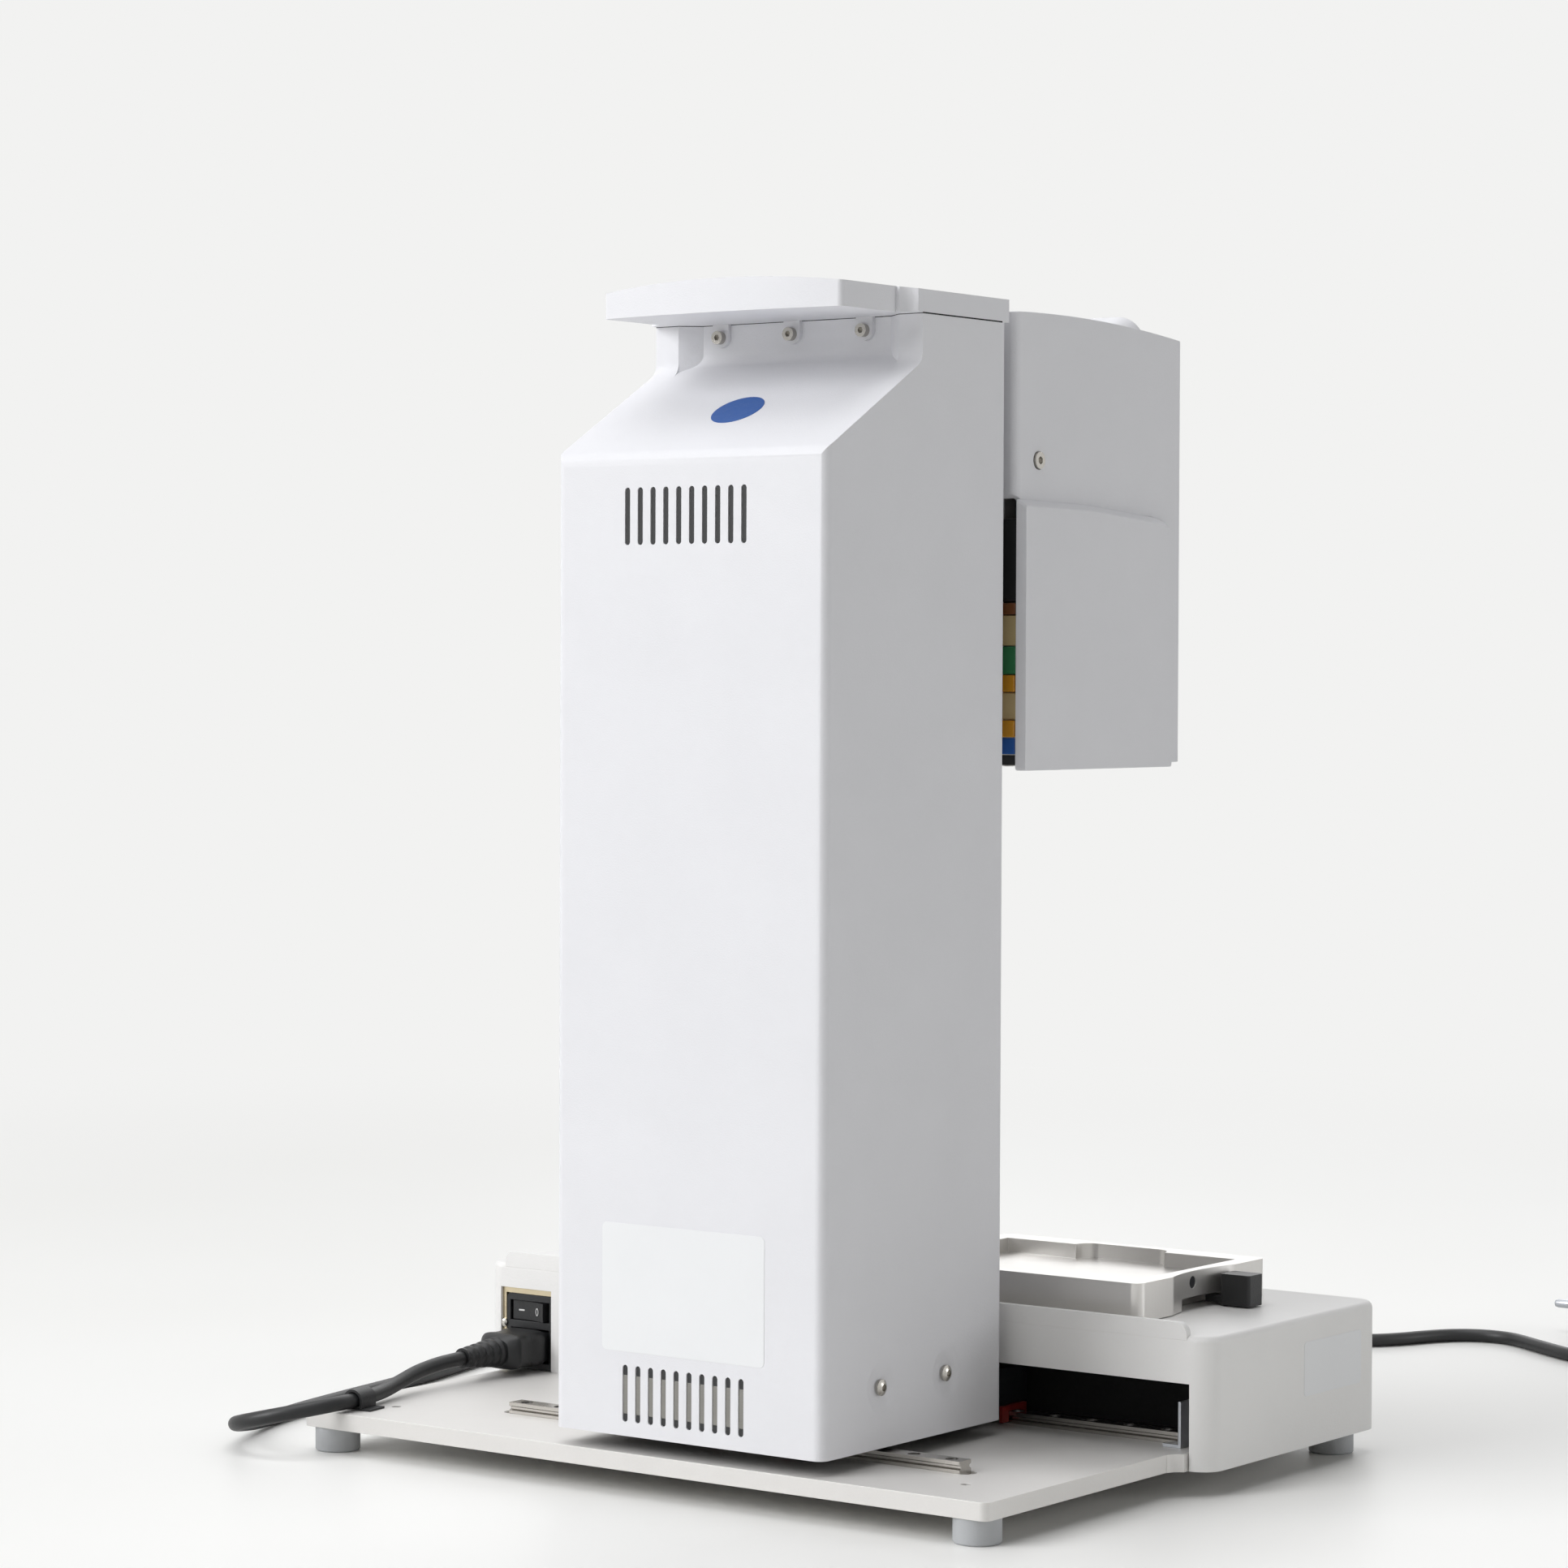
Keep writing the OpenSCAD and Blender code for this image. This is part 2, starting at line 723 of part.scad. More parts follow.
module holder_b_clip() {
    color("dimgray") at_holder_b() holder_clip();
}

// Two bars on the deck that guide the shifting holder sideways
module shift_guides() {
    color([0.2, 0.2, 0.22]) for (s = [-1, 1]) translate([-holder_x, holder_y + s * guide_v, deck_z])
        block([guide_l, guide_w, guide_h]);
}

knob_v = -19.5;
knob_travel = 6 * shift_travel;
tongue_l = 8.5;
tongue_h = 3.2;

// The black selector knob on the shifting holder's left side
module selector_knob() {
    w = 16;
    l = 12.5;
    color([0.08, 0.08, 0.08]) at_holder_a() translate([-holder_w / 2, knob_v, 0]) {
        translate([-w / 2 - seat, 0, seat]) round_block(w, l, 14.6, 1.6);
        translate([-seat - 1, -tongue_l / 2, 1]) cube([10, tongue_l, tongue_h]);
    }
}

// ---------------------------------------------------------------- tower foot and floor blocks

block_x = 40.5;
rear_block_x = -6;

// A block that rides on a floor rail: a saddle with the rail's channel
module rail_block(l) {
    low = 2;
    difference() {
        translate([-l / 2, -block_w / 2, low]) cube([l, block_w, block_h - low]);
        translate([-l / 2 - 1, -rail_w / 2 - seat, low - 1])
            cube([l + 2, rail_w + 2 * seat, rail_h + seat - low + 1]);
    }
}

seal_t = 1.8;

module at_front_blocks() {
    for (s = [-1, 1]) translate([tower_x + s * block_x, front_rail_y, rail_z]) children();
}

module at_rear_block() {
    translate([tower_x + rear_block_x, rear_rail_y, rail_z]) children();
}

module floor_blocks() {
    color("silver") {
        at_front_blocks() rail_block(block_l);
        at_rear_block() rail_block(block_l);
    }
}

// Red end seals on both ends of each block
module seal_pair() {
    for (s = [-1, 1]) translate([s * (block_l + seal_t) / 2, 0, 0]) rail_block(seal_t);
}

module block_seals() {
    color("firebrick") difference() {
        union() {
            at_front_blocks() seal_pair();
            at_rear_block() seal_pair();
        }
        translate([-300, -300, block_top_z - 0.6]) cube([600, 600, 20]);
    }
}

foot_w = 118;
foot_t = 12;
foot_front_y = front_rail_y - block_w / 2 - 2;
foot_back_y = tower_back_y - 15;
lug_y = [80.3, 130.5];
lug_z = cover_z + 26.6;
lug_r = 8;
side_screw_r = 2.5;

// The casting that carries the column, with side lugs for the cover's screws
module tower_foot() {
    top = block_top_z + foot_t;
    inner = tower_w / 2 - cover_wall;
    color([0.13, 0.13, 0.14]) difference() {
        union() {
            translate([tower_x, (foot_front_y + foot_back_y) / 2, block_top_z])
                block([foot_w, foot_back_y - foot_front_y, foot_t]);
            // upright ribs along both sides
            for (s = [-1, 1]) translate([tower_x + s * (foot_w / 2 - 4), 0, block_top_z])
                along_x(8) polygon([
                    [foot_front_y, 0], [foot_back_y, 0], [foot_back_y, 26], [60, 40],
                    [46, slot_h - 14], [foot_front_y + 6, slot_h - 14], [foot_front_y, foot_t]
                ]);
            for (s = [-1, 1], y = lug_y)
                translate([tower_x + s * (foot_w / 2 - 1), y, lug_z]) scale_x(s)
                    x_rod(lug_r, inner - foot_w / 2 + 1);
        }
        for (s = [-1, 1], y = lug_y)
            translate([tower_x + s * (inner - 14), y, lug_z]) scale_x(s)
                x_rod(side_screw_r + 0.05, 20);
        for (s = [-1, 1]) translate([tower_x + s * (foot_w / 2 - 9), 22, block_top_z + 7]) scale_x(s)
            x_rod(4, 12);
    }
}

// ---------------------------------------------------------------- lift column, rails and drive

column_y = 70;
column_t = 10;
column_w = foot_w - 16;
column_top_z = cover_top_z - 20;
foot_top_z = block_top_z + foot_t;
lift_travel = 200;
lift_rail_x = 45;
lift_rail_w = 12;
lift_rail_h = 8;
screw_r = 6;
journal_r = 4;
screw_y = 60;
motor_w = 42;
motor_h = 58;
bearing_low_z = 112;
lift_rail_z = [130, 490];
bearing_t = 14;
bearing_top_z = 472;
slot_w = 16;

rib_d = 36;

module lift_column() {
    rib_t = 8;
    rib_top = min(neck_z - 26, tab_z - 14);
    color("silver") difference() {
        union() {
            translate([tower_x, column_y + column_t / 2, foot_top_z])
                block([column_w, column_t, column_top_z - foot_top_z]);
            for (s = [-1, 1])
                translate([tower_x + s * (column_w - rib_t) / 2, column_y + column_t + rib_d / 2, foot_top_z])
                    block([rib_t, rib_d, rib_top - foot_top_z]);
            // top bridge that the cap's tabs reach
            translate([tower_x, column_y + column_t + 6, column_top_z - 12])
                block([column_w, 12, 12]);
        }
        translate([tower_x, column_y + column_t / 2, foot_top_z - 1])
            block([motor_w + 4, column_t + 2, motor_h + 4]);
    }
}

module lift_rails() {
    color("silver") for (s = [-1, 1])
        translate([tower_x + s * lift_rail_x, column_y, (lift_rail_z[0] + lift_rail_z[1]) / 2])
            rotate([0, 90, -90]) vertical_rail(lift_rail_z[1] - lift_rail_z[0]);
}

// A rail of the lift: plain section with side grooves, along its own X
module vertical_rail(l) {
    translate([-l / 2, 0, 0]) rotate([90, 0, 90]) linear_extrude(height = l) polygon([
        [-lift_rail_w / 2, 0], [lift_rail_w / 2, 0], [lift_rail_w / 2, 3.2], [4.4, 4.2], [4.4, 5.2],
        [lift_rail_w / 2, 6], [lift_rail_w / 2, lift_rail_h], [-lift_rail_w / 2, lift_rail_h],
        [-lift_rail_w / 2, 6], [-4.4, 5.2], [-4.4, 4.2], [-lift_rail_w / 2, 3.2]
    ]);
}

module lift_motor() {
    color([0.15, 0.15, 0.15]) translate([tower_x, screw_y, foot_top_z]) {
        block([motor_w, motor_w, motor_h]);
        cylinder(r = 11, h = motor_h + 2);
    }
}

module screw_bearings() {
    color("dimgray") for (z = [bearing_low_z, bearing_top_z]) difference() {
        translate([tower_x, (column_y + 47) / 2, z]) block([40, column_y - 47, bearing_t]);
        translate([tower_x, screw_y, z - 1]) cylinder(r = journal_r + fit, h = bearing_t + 2);
    }
}

module lift_screw() {
    low = bearing_low_z + bearing_t + 0.4;
    high = bearing_top_z - 0.4;
    coupler_z = foot_top_z + motor_h + 2.5;
    color("lightgray") translate([tower_x, screw_y, 0]) {
        translate([0, 0, low]) cylinder(r = screw_r, h = high - low);
        translate([0, 0, bearing_low_z - 1]) cylinder(r = journal_r, h = bearing_t + 3);
        translate([0, 0, high - 1]) cylinder(r = journal_r, h = bearing_t + 3);
        translate([0, 0, coupler_z]) cylinder(r = 9, h = bearing_low_z - 0.5 - coupler_z);
    }
}

// ---------------------------------------------------------------- tower electronics and covers

vent_x0 = -(vent_n - 1) / 2 * vent_pitch;
vent_low_z = cover_z + 6.3;
vent_high_z = shoulder_z - 39.6;
vent_shift = 1.6;

module tower_fan() {
    z = vent_high_z + vent_h / 2 - 11;
    y = tower_back_y - cover_wall - 15;
    color([0.1, 0.1, 0.1]) difference() {
        translate([tower_x, y + 15 / 2, z - 30]) block([60, 15, 60]);
        translate([tower_x, y - 1, z]) difference() {
            y_rod(27, 17);
            y_rod(11, 17);
            for (a = [0 : 60 : 300]) rotate([0, a, 0]) translate([0, 0, 0]) cube([1.6, 17, 30]);
        }
    }
}

// A bent steel tray between the foot and the column's ribs, with the circuit board on it
module tower_board() {
    t = 1.6;
    rib_y = column_y + column_t + rib_d;
    color("silver") {
        translate([tower_x, foot_back_y + t / 2, block_top_z]) block([column_w, t, 302]);
        for (s = [-1, 1]) translate([tower_x + s * (column_w - t) / 2, (rib_y + foot_back_y + 1) / 2, foot_top_z + 30])
            block([t, foot_back_y + 1 - rib_y, 250]);
        translate([tower_x, foot_back_y - 2.5, foot_top_z + 60]) block([80, 6, 180]);
        for (z = [75, 140, 200])
            translate([tower_x, foot_back_y - 10, foot_top_z + z]) block([52, 12, 26]);
    }
}

module tower_front_panel() {
    t = 2;
    w = tower_w - 2 * cover_wall;
    y = tower_front_y + 1;
    top = cover_top_z - 1;
    low = foot_top_z + 8;
    color("whitesmoke") difference() {
        translate([tower_x, y + t / 2, low]) block([w, t, top - low]);
        for (s = [-1, 1]) translate([tower_x + s * lift_rail_x, y + t / 2, arm_low_z - lift_travel - 6])
            block([slot_w, t + 2, arm_top_z - arm_low_z + lift_travel + 12]);
    }
}

shoulder_r = 8;
neck_r = 7;

// The side view of the tower's cover: upright back, sloping shoulder, upright neck
module cover_profile(inset) {
    polygon(rounded([
        [tower_front_y, cover_z], [tower_back_y - inset, cover_z],
        [tower_back_y - inset, shoulder_z - inset * 0.5], [neck_y - inset, neck_z - inset * 0.5],
        [neck_y - inset, cover_top_z], [tower_front_y, cover_top_z]
    ], [0, 0, shoulder_r - inset, neck_r + inset, 0, 0]));
}

// Half of the neck's recess seen from above, with slanting ends
module neck_recess_shape(grow = 0) {
    mid = (tower_w - 44) / 2 + grow;
    polygon([
        [-mid - 9, neck_y + 30], [-mid - 9, neck_y], [-mid, neck_y - neck_recess],
        [mid, neck_y - neck_recess], [mid + 9, neck_y], [mid + 9, neck_y + 30]
    ]);
}

// Height of the sloping shoulder's plane at a depth y
function slope_z(y) = shoulder_z + (tower_back_y - y) * shoulder_rise / shoulder_run;

// What the recess takes away: its floor carries the slope on and curves up into its face
module neck_cut() {
    face = neck_y - neck_recess;
    intersection() {
        translate([0, 0, shoulder_z]) linear_extrude(height = tower_h) neck_recess_shape();
        along_x(tower_w) polygon(rounded([
            [neck_y + 25, slope_z(neck_y + 25)], [face, slope_z(face)], [face, cover_top_z + 5],
            [neck_y + 25, cover_top_z + 5]
        ], [0, neck_r, 0, 0]));
    }
}

// A row of upright slots with round ends, cut through the rear wall
module vent_row(z) {
    for (i = [0 : vent_n - 1]) translate([vent_x0 + vent_shift + i * vent_pitch, 0, z]) {
        translate([-vent_w / 2, tower_back_y - cover_wall - 1, vent_w / 2])
            cube([vent_w, cover_wall + 2, vent_h - vent_w]);
        for (e = [vent_w / 2, vent_h - vent_w / 2])
            translate([0, tower_back_y - cover_wall - 1, e]) y_rod(vent_w / 2, cover_wall + 2, $fn = 24);
    }
}

dish_r = 40;
dish_depth = 1.5;

module tower_cover() {
    inner_w = tower_w - 2 * cover_wall;
    color("white") translate([tower_x, 0, 0]) difference() {
        // outside: round upright edges, cut to the side profile
        intersection() {
            translate([0, (tower_front_y + tower_back_y) / 2, cover_z])
                round_block(tower_w, tower_d, tower_h, cover_r);
            along_x(tower_w + 2) cover_profile(0);
            difference() {
                translate([0, (tower_front_y + tower_back_y) / 2, cover_z]) block([tower_w, tower_d, tower_h]);
                neck_cut();
            }
        }
        // inside: open to the front and below
        difference() {
            along_x(inner_w) translate([0, -1]) union() {
                cover_profile(cover_wall);
                translate([tower_front_y - 5, cover_z - 5])
                    square([tower_d - cover_wall + 6, 8]);
            }
            translate([0, 0, neck_z - cover_wall]) linear_extrude(height = tower_h)
                translate([0, -cover_wall]) neck_recess_shape(cover_wall);
        }
        translate([-inner_w / 2, tower_front_y - 6, cover_z - 1]) cube([inner_w, 10, tower_h + 2]);
        vent_row(vent_low_z);
        vent_row(vent_high_z);
        for (s = [-1, 1], y = lug_y) scale_x(s) translate([tower_w / 2, y, lug_z]) {
            translate([dish_r - dish_depth, 0, 0]) sphere(r = dish_r, $fn = 96);
            translate([-10, 0, 0]) x_rod(side_screw_r + 0.2, 20);
        }
        // screw holes of the cap's tabs
        for (x = tab_x) translate([x, neck_y - neck_recess - 8, tab_z]) y_rod(tab_screw_r + 0.2, 16);
    }
}

tab_pitch = 40.2;
tab_x = [-tab_pitch + 1, 1, tab_pitch + 1];
tab_z = cover_top_z - 6;
tab_w = 9;
tab_t = 2;
tab_screw_r = 1.5;

cap_bow = 5;

// The cap's plan: straight sides, stepping in to a wing that overhangs the rear
module cap_outline() {
    half = tower_w / 2;
    wing = half - 8.5;
    rear = neck_y + cap_wing;
    step_r = 12;
    edge = [for (i = [-6 : 6]) let (x = (wing - 3) * i / 6) [x, rear - cap_bow * pow(x / wing, 2)]];
    difference() {
        union() {
            translate([-half, tower_front_y - 0.5]) square([tower_w, neck_y + 4 - tower_front_y]);
            translate([-wing, neck_y]) square([2 * wing, rear - neck_y - cap_bow - 3]);
            polygon(concat([[-wing + 3, neck_y]], edge, [[wing - 3, neck_y]]));
            for (s = [-1, 1]) translate([s * (wing - 3), edge[0][1] - 3]) circle(r = 3);
            for (s = [-1, 1]) translate([s * (wing + 3.5), neck_y + 3.5]) square([10, 10], center = true);
        }
        for (s = [-1, 1]) translate([s * (wing + step_r), neck_y + 3 + step_r]) circle(r = step_r);
    }
}

module tower_cap() {
    crown_r = 620;
    color("white") translate([tower_x, 0, 0]) difference() {
        union() {
            intersection() {
                translate([0, 0, cover_top_z]) linear_extrude(height = cap_h + cap_crown) cap_outline();
                translate([0, -100, cover_top_z + cap_h + cap_crown - crown_r]) y_rod(crown_r, 600, $fn = 360);
            }
            // three tabs that hang in front of the neck's recess
            for (x = tab_x) {
                translate([x - tab_w / 2, neck_y - neck_recess, tab_z]) cube([tab_w, tab_t, cover_top_z - tab_z + 1]);
                translate([x, neck_y - neck_recess, tab_z]) y_rod(tab_w / 2, tab_t);
            }
        }
        for (x = tab_x) translate([x, neck_y - neck_recess - 1, tab_z]) y_rod(tab_screw_r + 0.15, tab_t + 4);
    }
}

module cap_screws() {
    color("dimgray") for (x = tab_x) translate([tower_x + x, neck_y - neck_recess + tab_t, tab_z]) {
        rotate([-90, 0, 0]) socket_head(3, 3, 1.45);
        translate([0, -9, 0]) y_rod(tab_screw_r, 9);
    }
}

module cover_screws() {
    color("silver") for (s = [-1, 1], y = lug_y)
        translate([tower_x, 0, 0]) scale_x(s) translate([tower_w / 2 - dish_depth + 0.2, y, lug_z]) {
            rotate([0, 90, 0]) difference() {
                intersection() {
                    cylinder(r = 3.6, h = 2.6);
                    translate([0, 0, -3]) sphere(r = 5.6, $fn = 64);
                }
                translate([0, 0, 1]) cylinder(r = 1.7, h = 4, $fn = 6);
            }
            translate([-9, 0, 0]) x_rod(side_screw_r - 0.05, 9);
        }
}

// ---------------------------------------------------------------- lift carriage and head frame

arm_low_z = head_z + 28;
arm_top_z = head_z + side_cover_h - 4;
carriage_low_z = arm_low_z - 12;
carriage_top_z = arm_top_z + 12;
carriage_t = 10;
lift_block_h = 13;
carriage_y = column_y - lift_block_h - carriage_t;
frame_t = 8;
frame_back_y = head_back_y - head_wall;

module lift_carriage() {
    nut_z = (carriage_low_z + carriage_top_z) / 2 - 20;
    color("gray") difference() {
        union() {
            translate([tower_x, carriage_y + carriage_t / 2, carriage_low_z])
                block([108, carriage_t, carriage_top_z - carriage_low_z]);
            for (s = [-1, 1])
                translate([tower_x + s * lift_rail_x, (frame_back_y + carriage_y + 1) / 2, arm_low_z])
                    block([12, carriage_y + 1 - frame_back_y, arm_top_z - arm_low_z]);
            translate([tower_x, (carriage_y + column_y - 2) / 2, nut_z])
                block([28, column_y - 2 - carriage_y, 40]);
        }
        translate([tower_x, screw_y, carriage_low_z - 1])
            cylinder(r = screw_r + fit, h = carriage_top_z - carriage_low_z + 2);
        translate([tower_x, screw_y, carriage_low_z - 1]) cylinder(r = 10, h = nut_z - carriage_low_z + 1);
        translate([tower_x, screw_y, nut_z + 40]) cylinder(r = 10, h = 100);
    }
}

module lift_blocks() {
    l = 45;
    z_low = carriage_low_z + 2;
    z_high = carriage_top_z - l - 2;
    color("silver") for (s = [-1, 1], z = [z_low, z_high])
        translate([tower_x + s * lift_rail_x, 0, z]) difference() {
            translate([0, column_y - lift_block_h / 2 - 1.5, 0]) block([27, lift_block_h - 3, l]);
            translate([0, column_y - (lift_rail_h + seat) / 2, -1])
                block([lift_rail_w + 2 * seat, lift_rail_h + seat, l + 2]);
        }
}

block_half_w = 62;
block_half_d = 39;
frame_top_z = head_top_z - 55.8;
block_z = head_z + 7;
block_t = 22;
channel_y = holder_y;

// The machined frame of the head: back plate, two cheeks and the motor shelf
module head_frame() {
    cheek = 4;
    front = channel_y - block_half_d;
    color("lightsteelblue") union() {
        translate([tower_x, frame_back_y - frame_t / 2, block_z])
            block([2 * (block_half_w + cheek), frame_t, head_top_z - 14 - block_z]);
        for (s = [-1, 1])
            translate([tower_x + s * (block_half_w + cheek / 2), (front + frame_back_y - frame_t + 0.5) / 2, block_z])
                block([cheek, frame_back_y - frame_t + 0.5 - front, frame_top_z - block_z]);
        // bosses that carry the covers
        for (s = [-1, 1]) scale_about(s) {
            translate([block_half_w + cheek - 0.5, head_screw_y, head_screw_z]) difference() {
                x_rod(6, head_w / 2 - head_wall - block_half_w - cheek + 0.5);
                translate([1, 0, 0]) x_rod(2.05, 12);
            }
            for (y = [head_back_y - 16, head_back_y - 100], z = [head_z + 20, head_z + side_cover_h - 26])
                translate([block_half_w + cheek - 0.5, y, z])
                    x_rod(5, head_w / 2 - block_half_w - cheek + 0.5);
        }
        difference() {
            translate([tower_x, (front + frame_back_y - frame_t + 0.5) / 2, frame_top_z - 6])
                block([2 * block_half_w + 2, frame_back_y - frame_t + 0.5 - front, 6]);
            translate([tower_x, channel_y, frame_top_z - 8]) cylinder(r = 4 + fit, h = 10);
        }
    }
}

// Mirrors what follows about the tower's middle when s is -1
module scale_about(s) {
    translate([tower_x, 0, 0]) scale_x(s) children();
}

// Places of the channels
module at_channels() {
    for (i = [0 : channel_cols - 1], j = [0 : channel_rows - 1])
        translate([
            tower_x + (i - (channel_cols - 1) / 2) * channel_pitch,
            channel_y + (j - (channel_rows - 1) / 2) * channel_pitch, 0
        ]) children();
}

module channel_block() {
    tip_z = head_z - 1.2;
    color("lightgray") difference() {
        union() {
            translate([tower_x, channel_y, block_z]) block([2 * block_half_w, 2 * block_half_d, block_t]);
            at_channels() translate([0, 0, tip_z]) cylinder(r = nozzle_r, h = block_z - tip_z + 1, $fn = 24);
        }
        at_channels() translate([0, 0, tip_z - 1]) cylinder(r = piston_r + 0.08, h = block_t + 12, $fn = 16);
    }
}

pin_x = 56.5;
pin_r = 2.5;

module guide_pins() {
    color("silver") for (s = [-1, 1])
        translate([tower_x + s * pin_x, channel_y, block_z + block_t])
            cylinder(r = pin_r, h = frame_top_z - 6 - block_z - block_t);
}

plunger_z = block_z + block_t + 33;
plunger_t = 6;
plunger_travel = 20;
plunger_screw_r = 4;

module plunger_plate() {
    rod_low = head_z + 1;
    color("tan") difference() {
        union() {
            translate([tower_x, channel_y, plunger_z])
                block([2 * block_half_w - 1, 2 * block_half_d - 8, plunger_t]);
            translate([tower_x, channel_y, plunger_z + plunger_t - 1]) cylinder(r = 11, h = 19);
            at_channels() translate([0, 0, rod_low]) cylinder(r = piston_r, h = plunger_z - rod_low + 1, $fn = 16);
        }
        translate([tower_x, channel_y, plunger_z - 1]) cylinder(r = plunger_screw_r + fit, h = 40);
        for (s = [-1, 1]) translate([tower_x + s * pin_x, channel_y, plunger_z - 1])
            cylinder(r = pin_r + fit, h = plunger_t + 2);
    }
}

module plunger_screw() {
    low = block_z + block_t + 4;
    color("lightgray") translate([tower_x, channel_y, low])
        cylinder(r = plunger_screw_r, h = frame_top_z + 0.5 - low);
}

module plunger_motor() {
    color([0.15, 0.15, 0.15]) translate([tower_x, channel_y, frame_top_z]) difference() {
        block([42, 42, 38]);
        translate([0, 0, -1]) cylinder(r = plunger_screw_r + 1, h = 4);
    }
}

module tip_stripper() {
    z = block_z - 3 - seat;
    color("gainsboro") difference() {
        translate([tower_x, channel_y, z]) block([2 * block_half_w - 4, 2 * block_half_d - 4, 3]);
        at_channels() translate([0, 0, z - 1]) cylinder(r = nozzle_r + 0.5, h = 5, $fn = 24);
    }
}

module head_board() {
    color("darkgreen") translate([tower_x - block_half_w - 4, head_back_y - 58, block_z + 8]) {
        translate([-1.6, -34, 0]) cube([1.6, 68, 98]);
        translate([-7.6, 10, 4]) cube([6.2, 20, 14]);
        translate([-7, 4, 44]) cube([5.6, 26, 10]);
    }
}

// ---------------------------------------------------------------- head covers

// Height of the bowed top of the head at a depth y
top_peak_y = -10;
top_bow = 0.8;
function head_top(y) =
    head_top_z + top_bow - (head_top_drop + top_bow) * pow((y - top_peak_y) / (top_peak_y - head_front_y), 2);

// Points along the head's top from the rear to the front, lowered by a wall
function top_line(inset) = [for (i = [0 : 12])
    let (y = head_back_y - inset - (head_d - 2 * inset) * i / 12) [y, head_top(y) - inset]];

// The side view of the head's upper cover, with its skirt along the front
module head_profile() {
    skirt_y = head_back_y - side_cover_d;
    ledge_z = head_z - 2.4 + side_cover_h;
    polygon(concat([[head_back_y, ledge_z + 6]], top_line(0), [
        [head_front_y, head_z], [skirt_y, head_z], [skirt_y, ledge_z - 3], [skirt_y + 10, ledge_z - 1],
        [head_back_y - 8, ledge_z]
    ]));
}

module head_cover() {
    mid_y = (head_back_y + head_front_y) / 2;
    inner_w = head_w - 2 * head_wall;
    color("white") translate([tower_x, 0, 0]) difference() {
        intersection() {
            translate([0, mid_y, head_z - 10]) round_block(head_w, head_d, head_h + 30, 4);
            along_x(head_w + 2) head_profile();
        }
        along_x(inner_w) polygon(concat([[head_back_y - head_wall, head_z - 20]], top_line(head_wall),
            [[head_front_y + head_wall, head_z - 20]]));
        // the back is open below the upper part, for the lift's arms
        for (s = [-1, 1]) scale_x(s) translate([head_w / 2 - 1.2, head_screw_y, head_screw_z]) {
            x_rod(4.2, 10);
            translate([-5, 0, 0]) x_rod(2.2, 10);
        }
    }
}

head_screw_y = head_back_y - 18.6;
head_screw_z = head_z + 139.6;

module head_screws() {
    color("dimgray") translate([tower_x, 0, 0]) for (s = [-1, 1]) scale_x(s)
        translate([head_w / 2 - 1.2, head_screw_y, head_screw_z]) {
            rotate([0, 90, 0]) socket_head(3.9, 2.2, 1.9);
            translate([-4, 0, 0]) x_rod(2, 4);
        }
}

// The side view of a lower side cover, grown by g above and in front
module side_cover_shape(g) {
    low = head_z - 2;
    front = head_back_y - side_cover_d - g;
    top = low + side_cover_h + g;
    polygon(rounded([
        [head_back_y, low], [head_back_y, top], [head_back_y - 58, top - 0.8],
        [front + 12, top - 4.8], [front, top - 7], [front, low]
    ], [1.5, 1.5, 0, 10, 5, 1.5]));
}

// The two lower side covers; their upper and front edges slope down to the head
module side_covers() {
    color("white") translate([tower_x, 0, 0]) for (s = [-1, 1]) scale_x(s)
        translate([head_w / 2, 0, 0]) hull() {
            translate([0.3, 0, 0]) along_x(0.6) side_cover_shape(3.2);
            translate([side_cover_t - 1, 0, 0]) along_x(2) side_cover_shape(0);
        }
}

// ---------------------------------------------------------------- console

face_x = 68;
face_y = -158.5;
face_z = head_z + 169.3;

// Puts what follows on the console's face: x across, y up the slope, z out of it
module on_face() {
    translate([tower_x, face_y, face_z]) rotate([90 - face_lean, 0, 0]) children();
}

slab_t = 15;
arm_w = 58;

// A point in Y and Z from its place on the face: v up the slope, n behind it
function from_face(v, n) = [
    face_y + v * sin(face_lean) + n * cos(face_lean), face_z + v * cos(face_lean) - n * sin(face_lean)];

// The console's rounded slab and the arm that carries it on the head's front
module console_shell() {
    color("white") {
        on_face() translate([0, 0, -3 - slab_t])
            round_block(console_w, face_h + 8, slab_t, 12);
        translate([tower_x, 0, 0]) along_x(arm_w) polygon(rounded([
            [head_front_y, head_z + 8], [head_front_y, head_z + 150], from_face(30, slab_t),
            from_face(-face_h / 2, slab_t), [head_front_y - 20, head_z + 8]
        ], [0, 0, 0, 9, 7]));
    }
}

module console_face() {
    color([0.1, 0.1, 0.12]) on_face() difference() {
        translate([0, 0, -3]) linear_extrude(height = 3) round_rect(face_x, face_h, 8);
        translate([0, display_v, -0.8]) linear_extrude(height = 2) square([display_w, display_h], center = true);
        translate([0, wheel_v, -1.2]) cylinder(r = wheel_r + 0.3, h = 4);
        translate([0, wheel_v, -2.6]) cylinder(r = ok_r + 0.3, h = 4);
        for (s = [-1, 1]) translate([s * key_u, key_v, -2.6]) cylinder(r = key_r + 0.3, h = 4);
        translate([0, run_v, -2.6]) linear_extrude(height = 4) round_rect(run_w + 0.6, run_h + 0.6, 2);
    }
}

display_v = 22;
display_w = 52;
display_h = 38;

module display() {
    color([0.05, 0.08, 0.1]) on_face() translate([0, display_v, -0.8]) linear_extrude(height = 1)
        square([display_w, display_h], center = true);
}

wheel_v = -21;
wheel_r = 17;
ok_r = 6;
key_u = 26;
key_v = -2;
key_r = 4;
run_v = -43.5;
run_w = 26;
run_h = 6;
key_travel = 0.8;

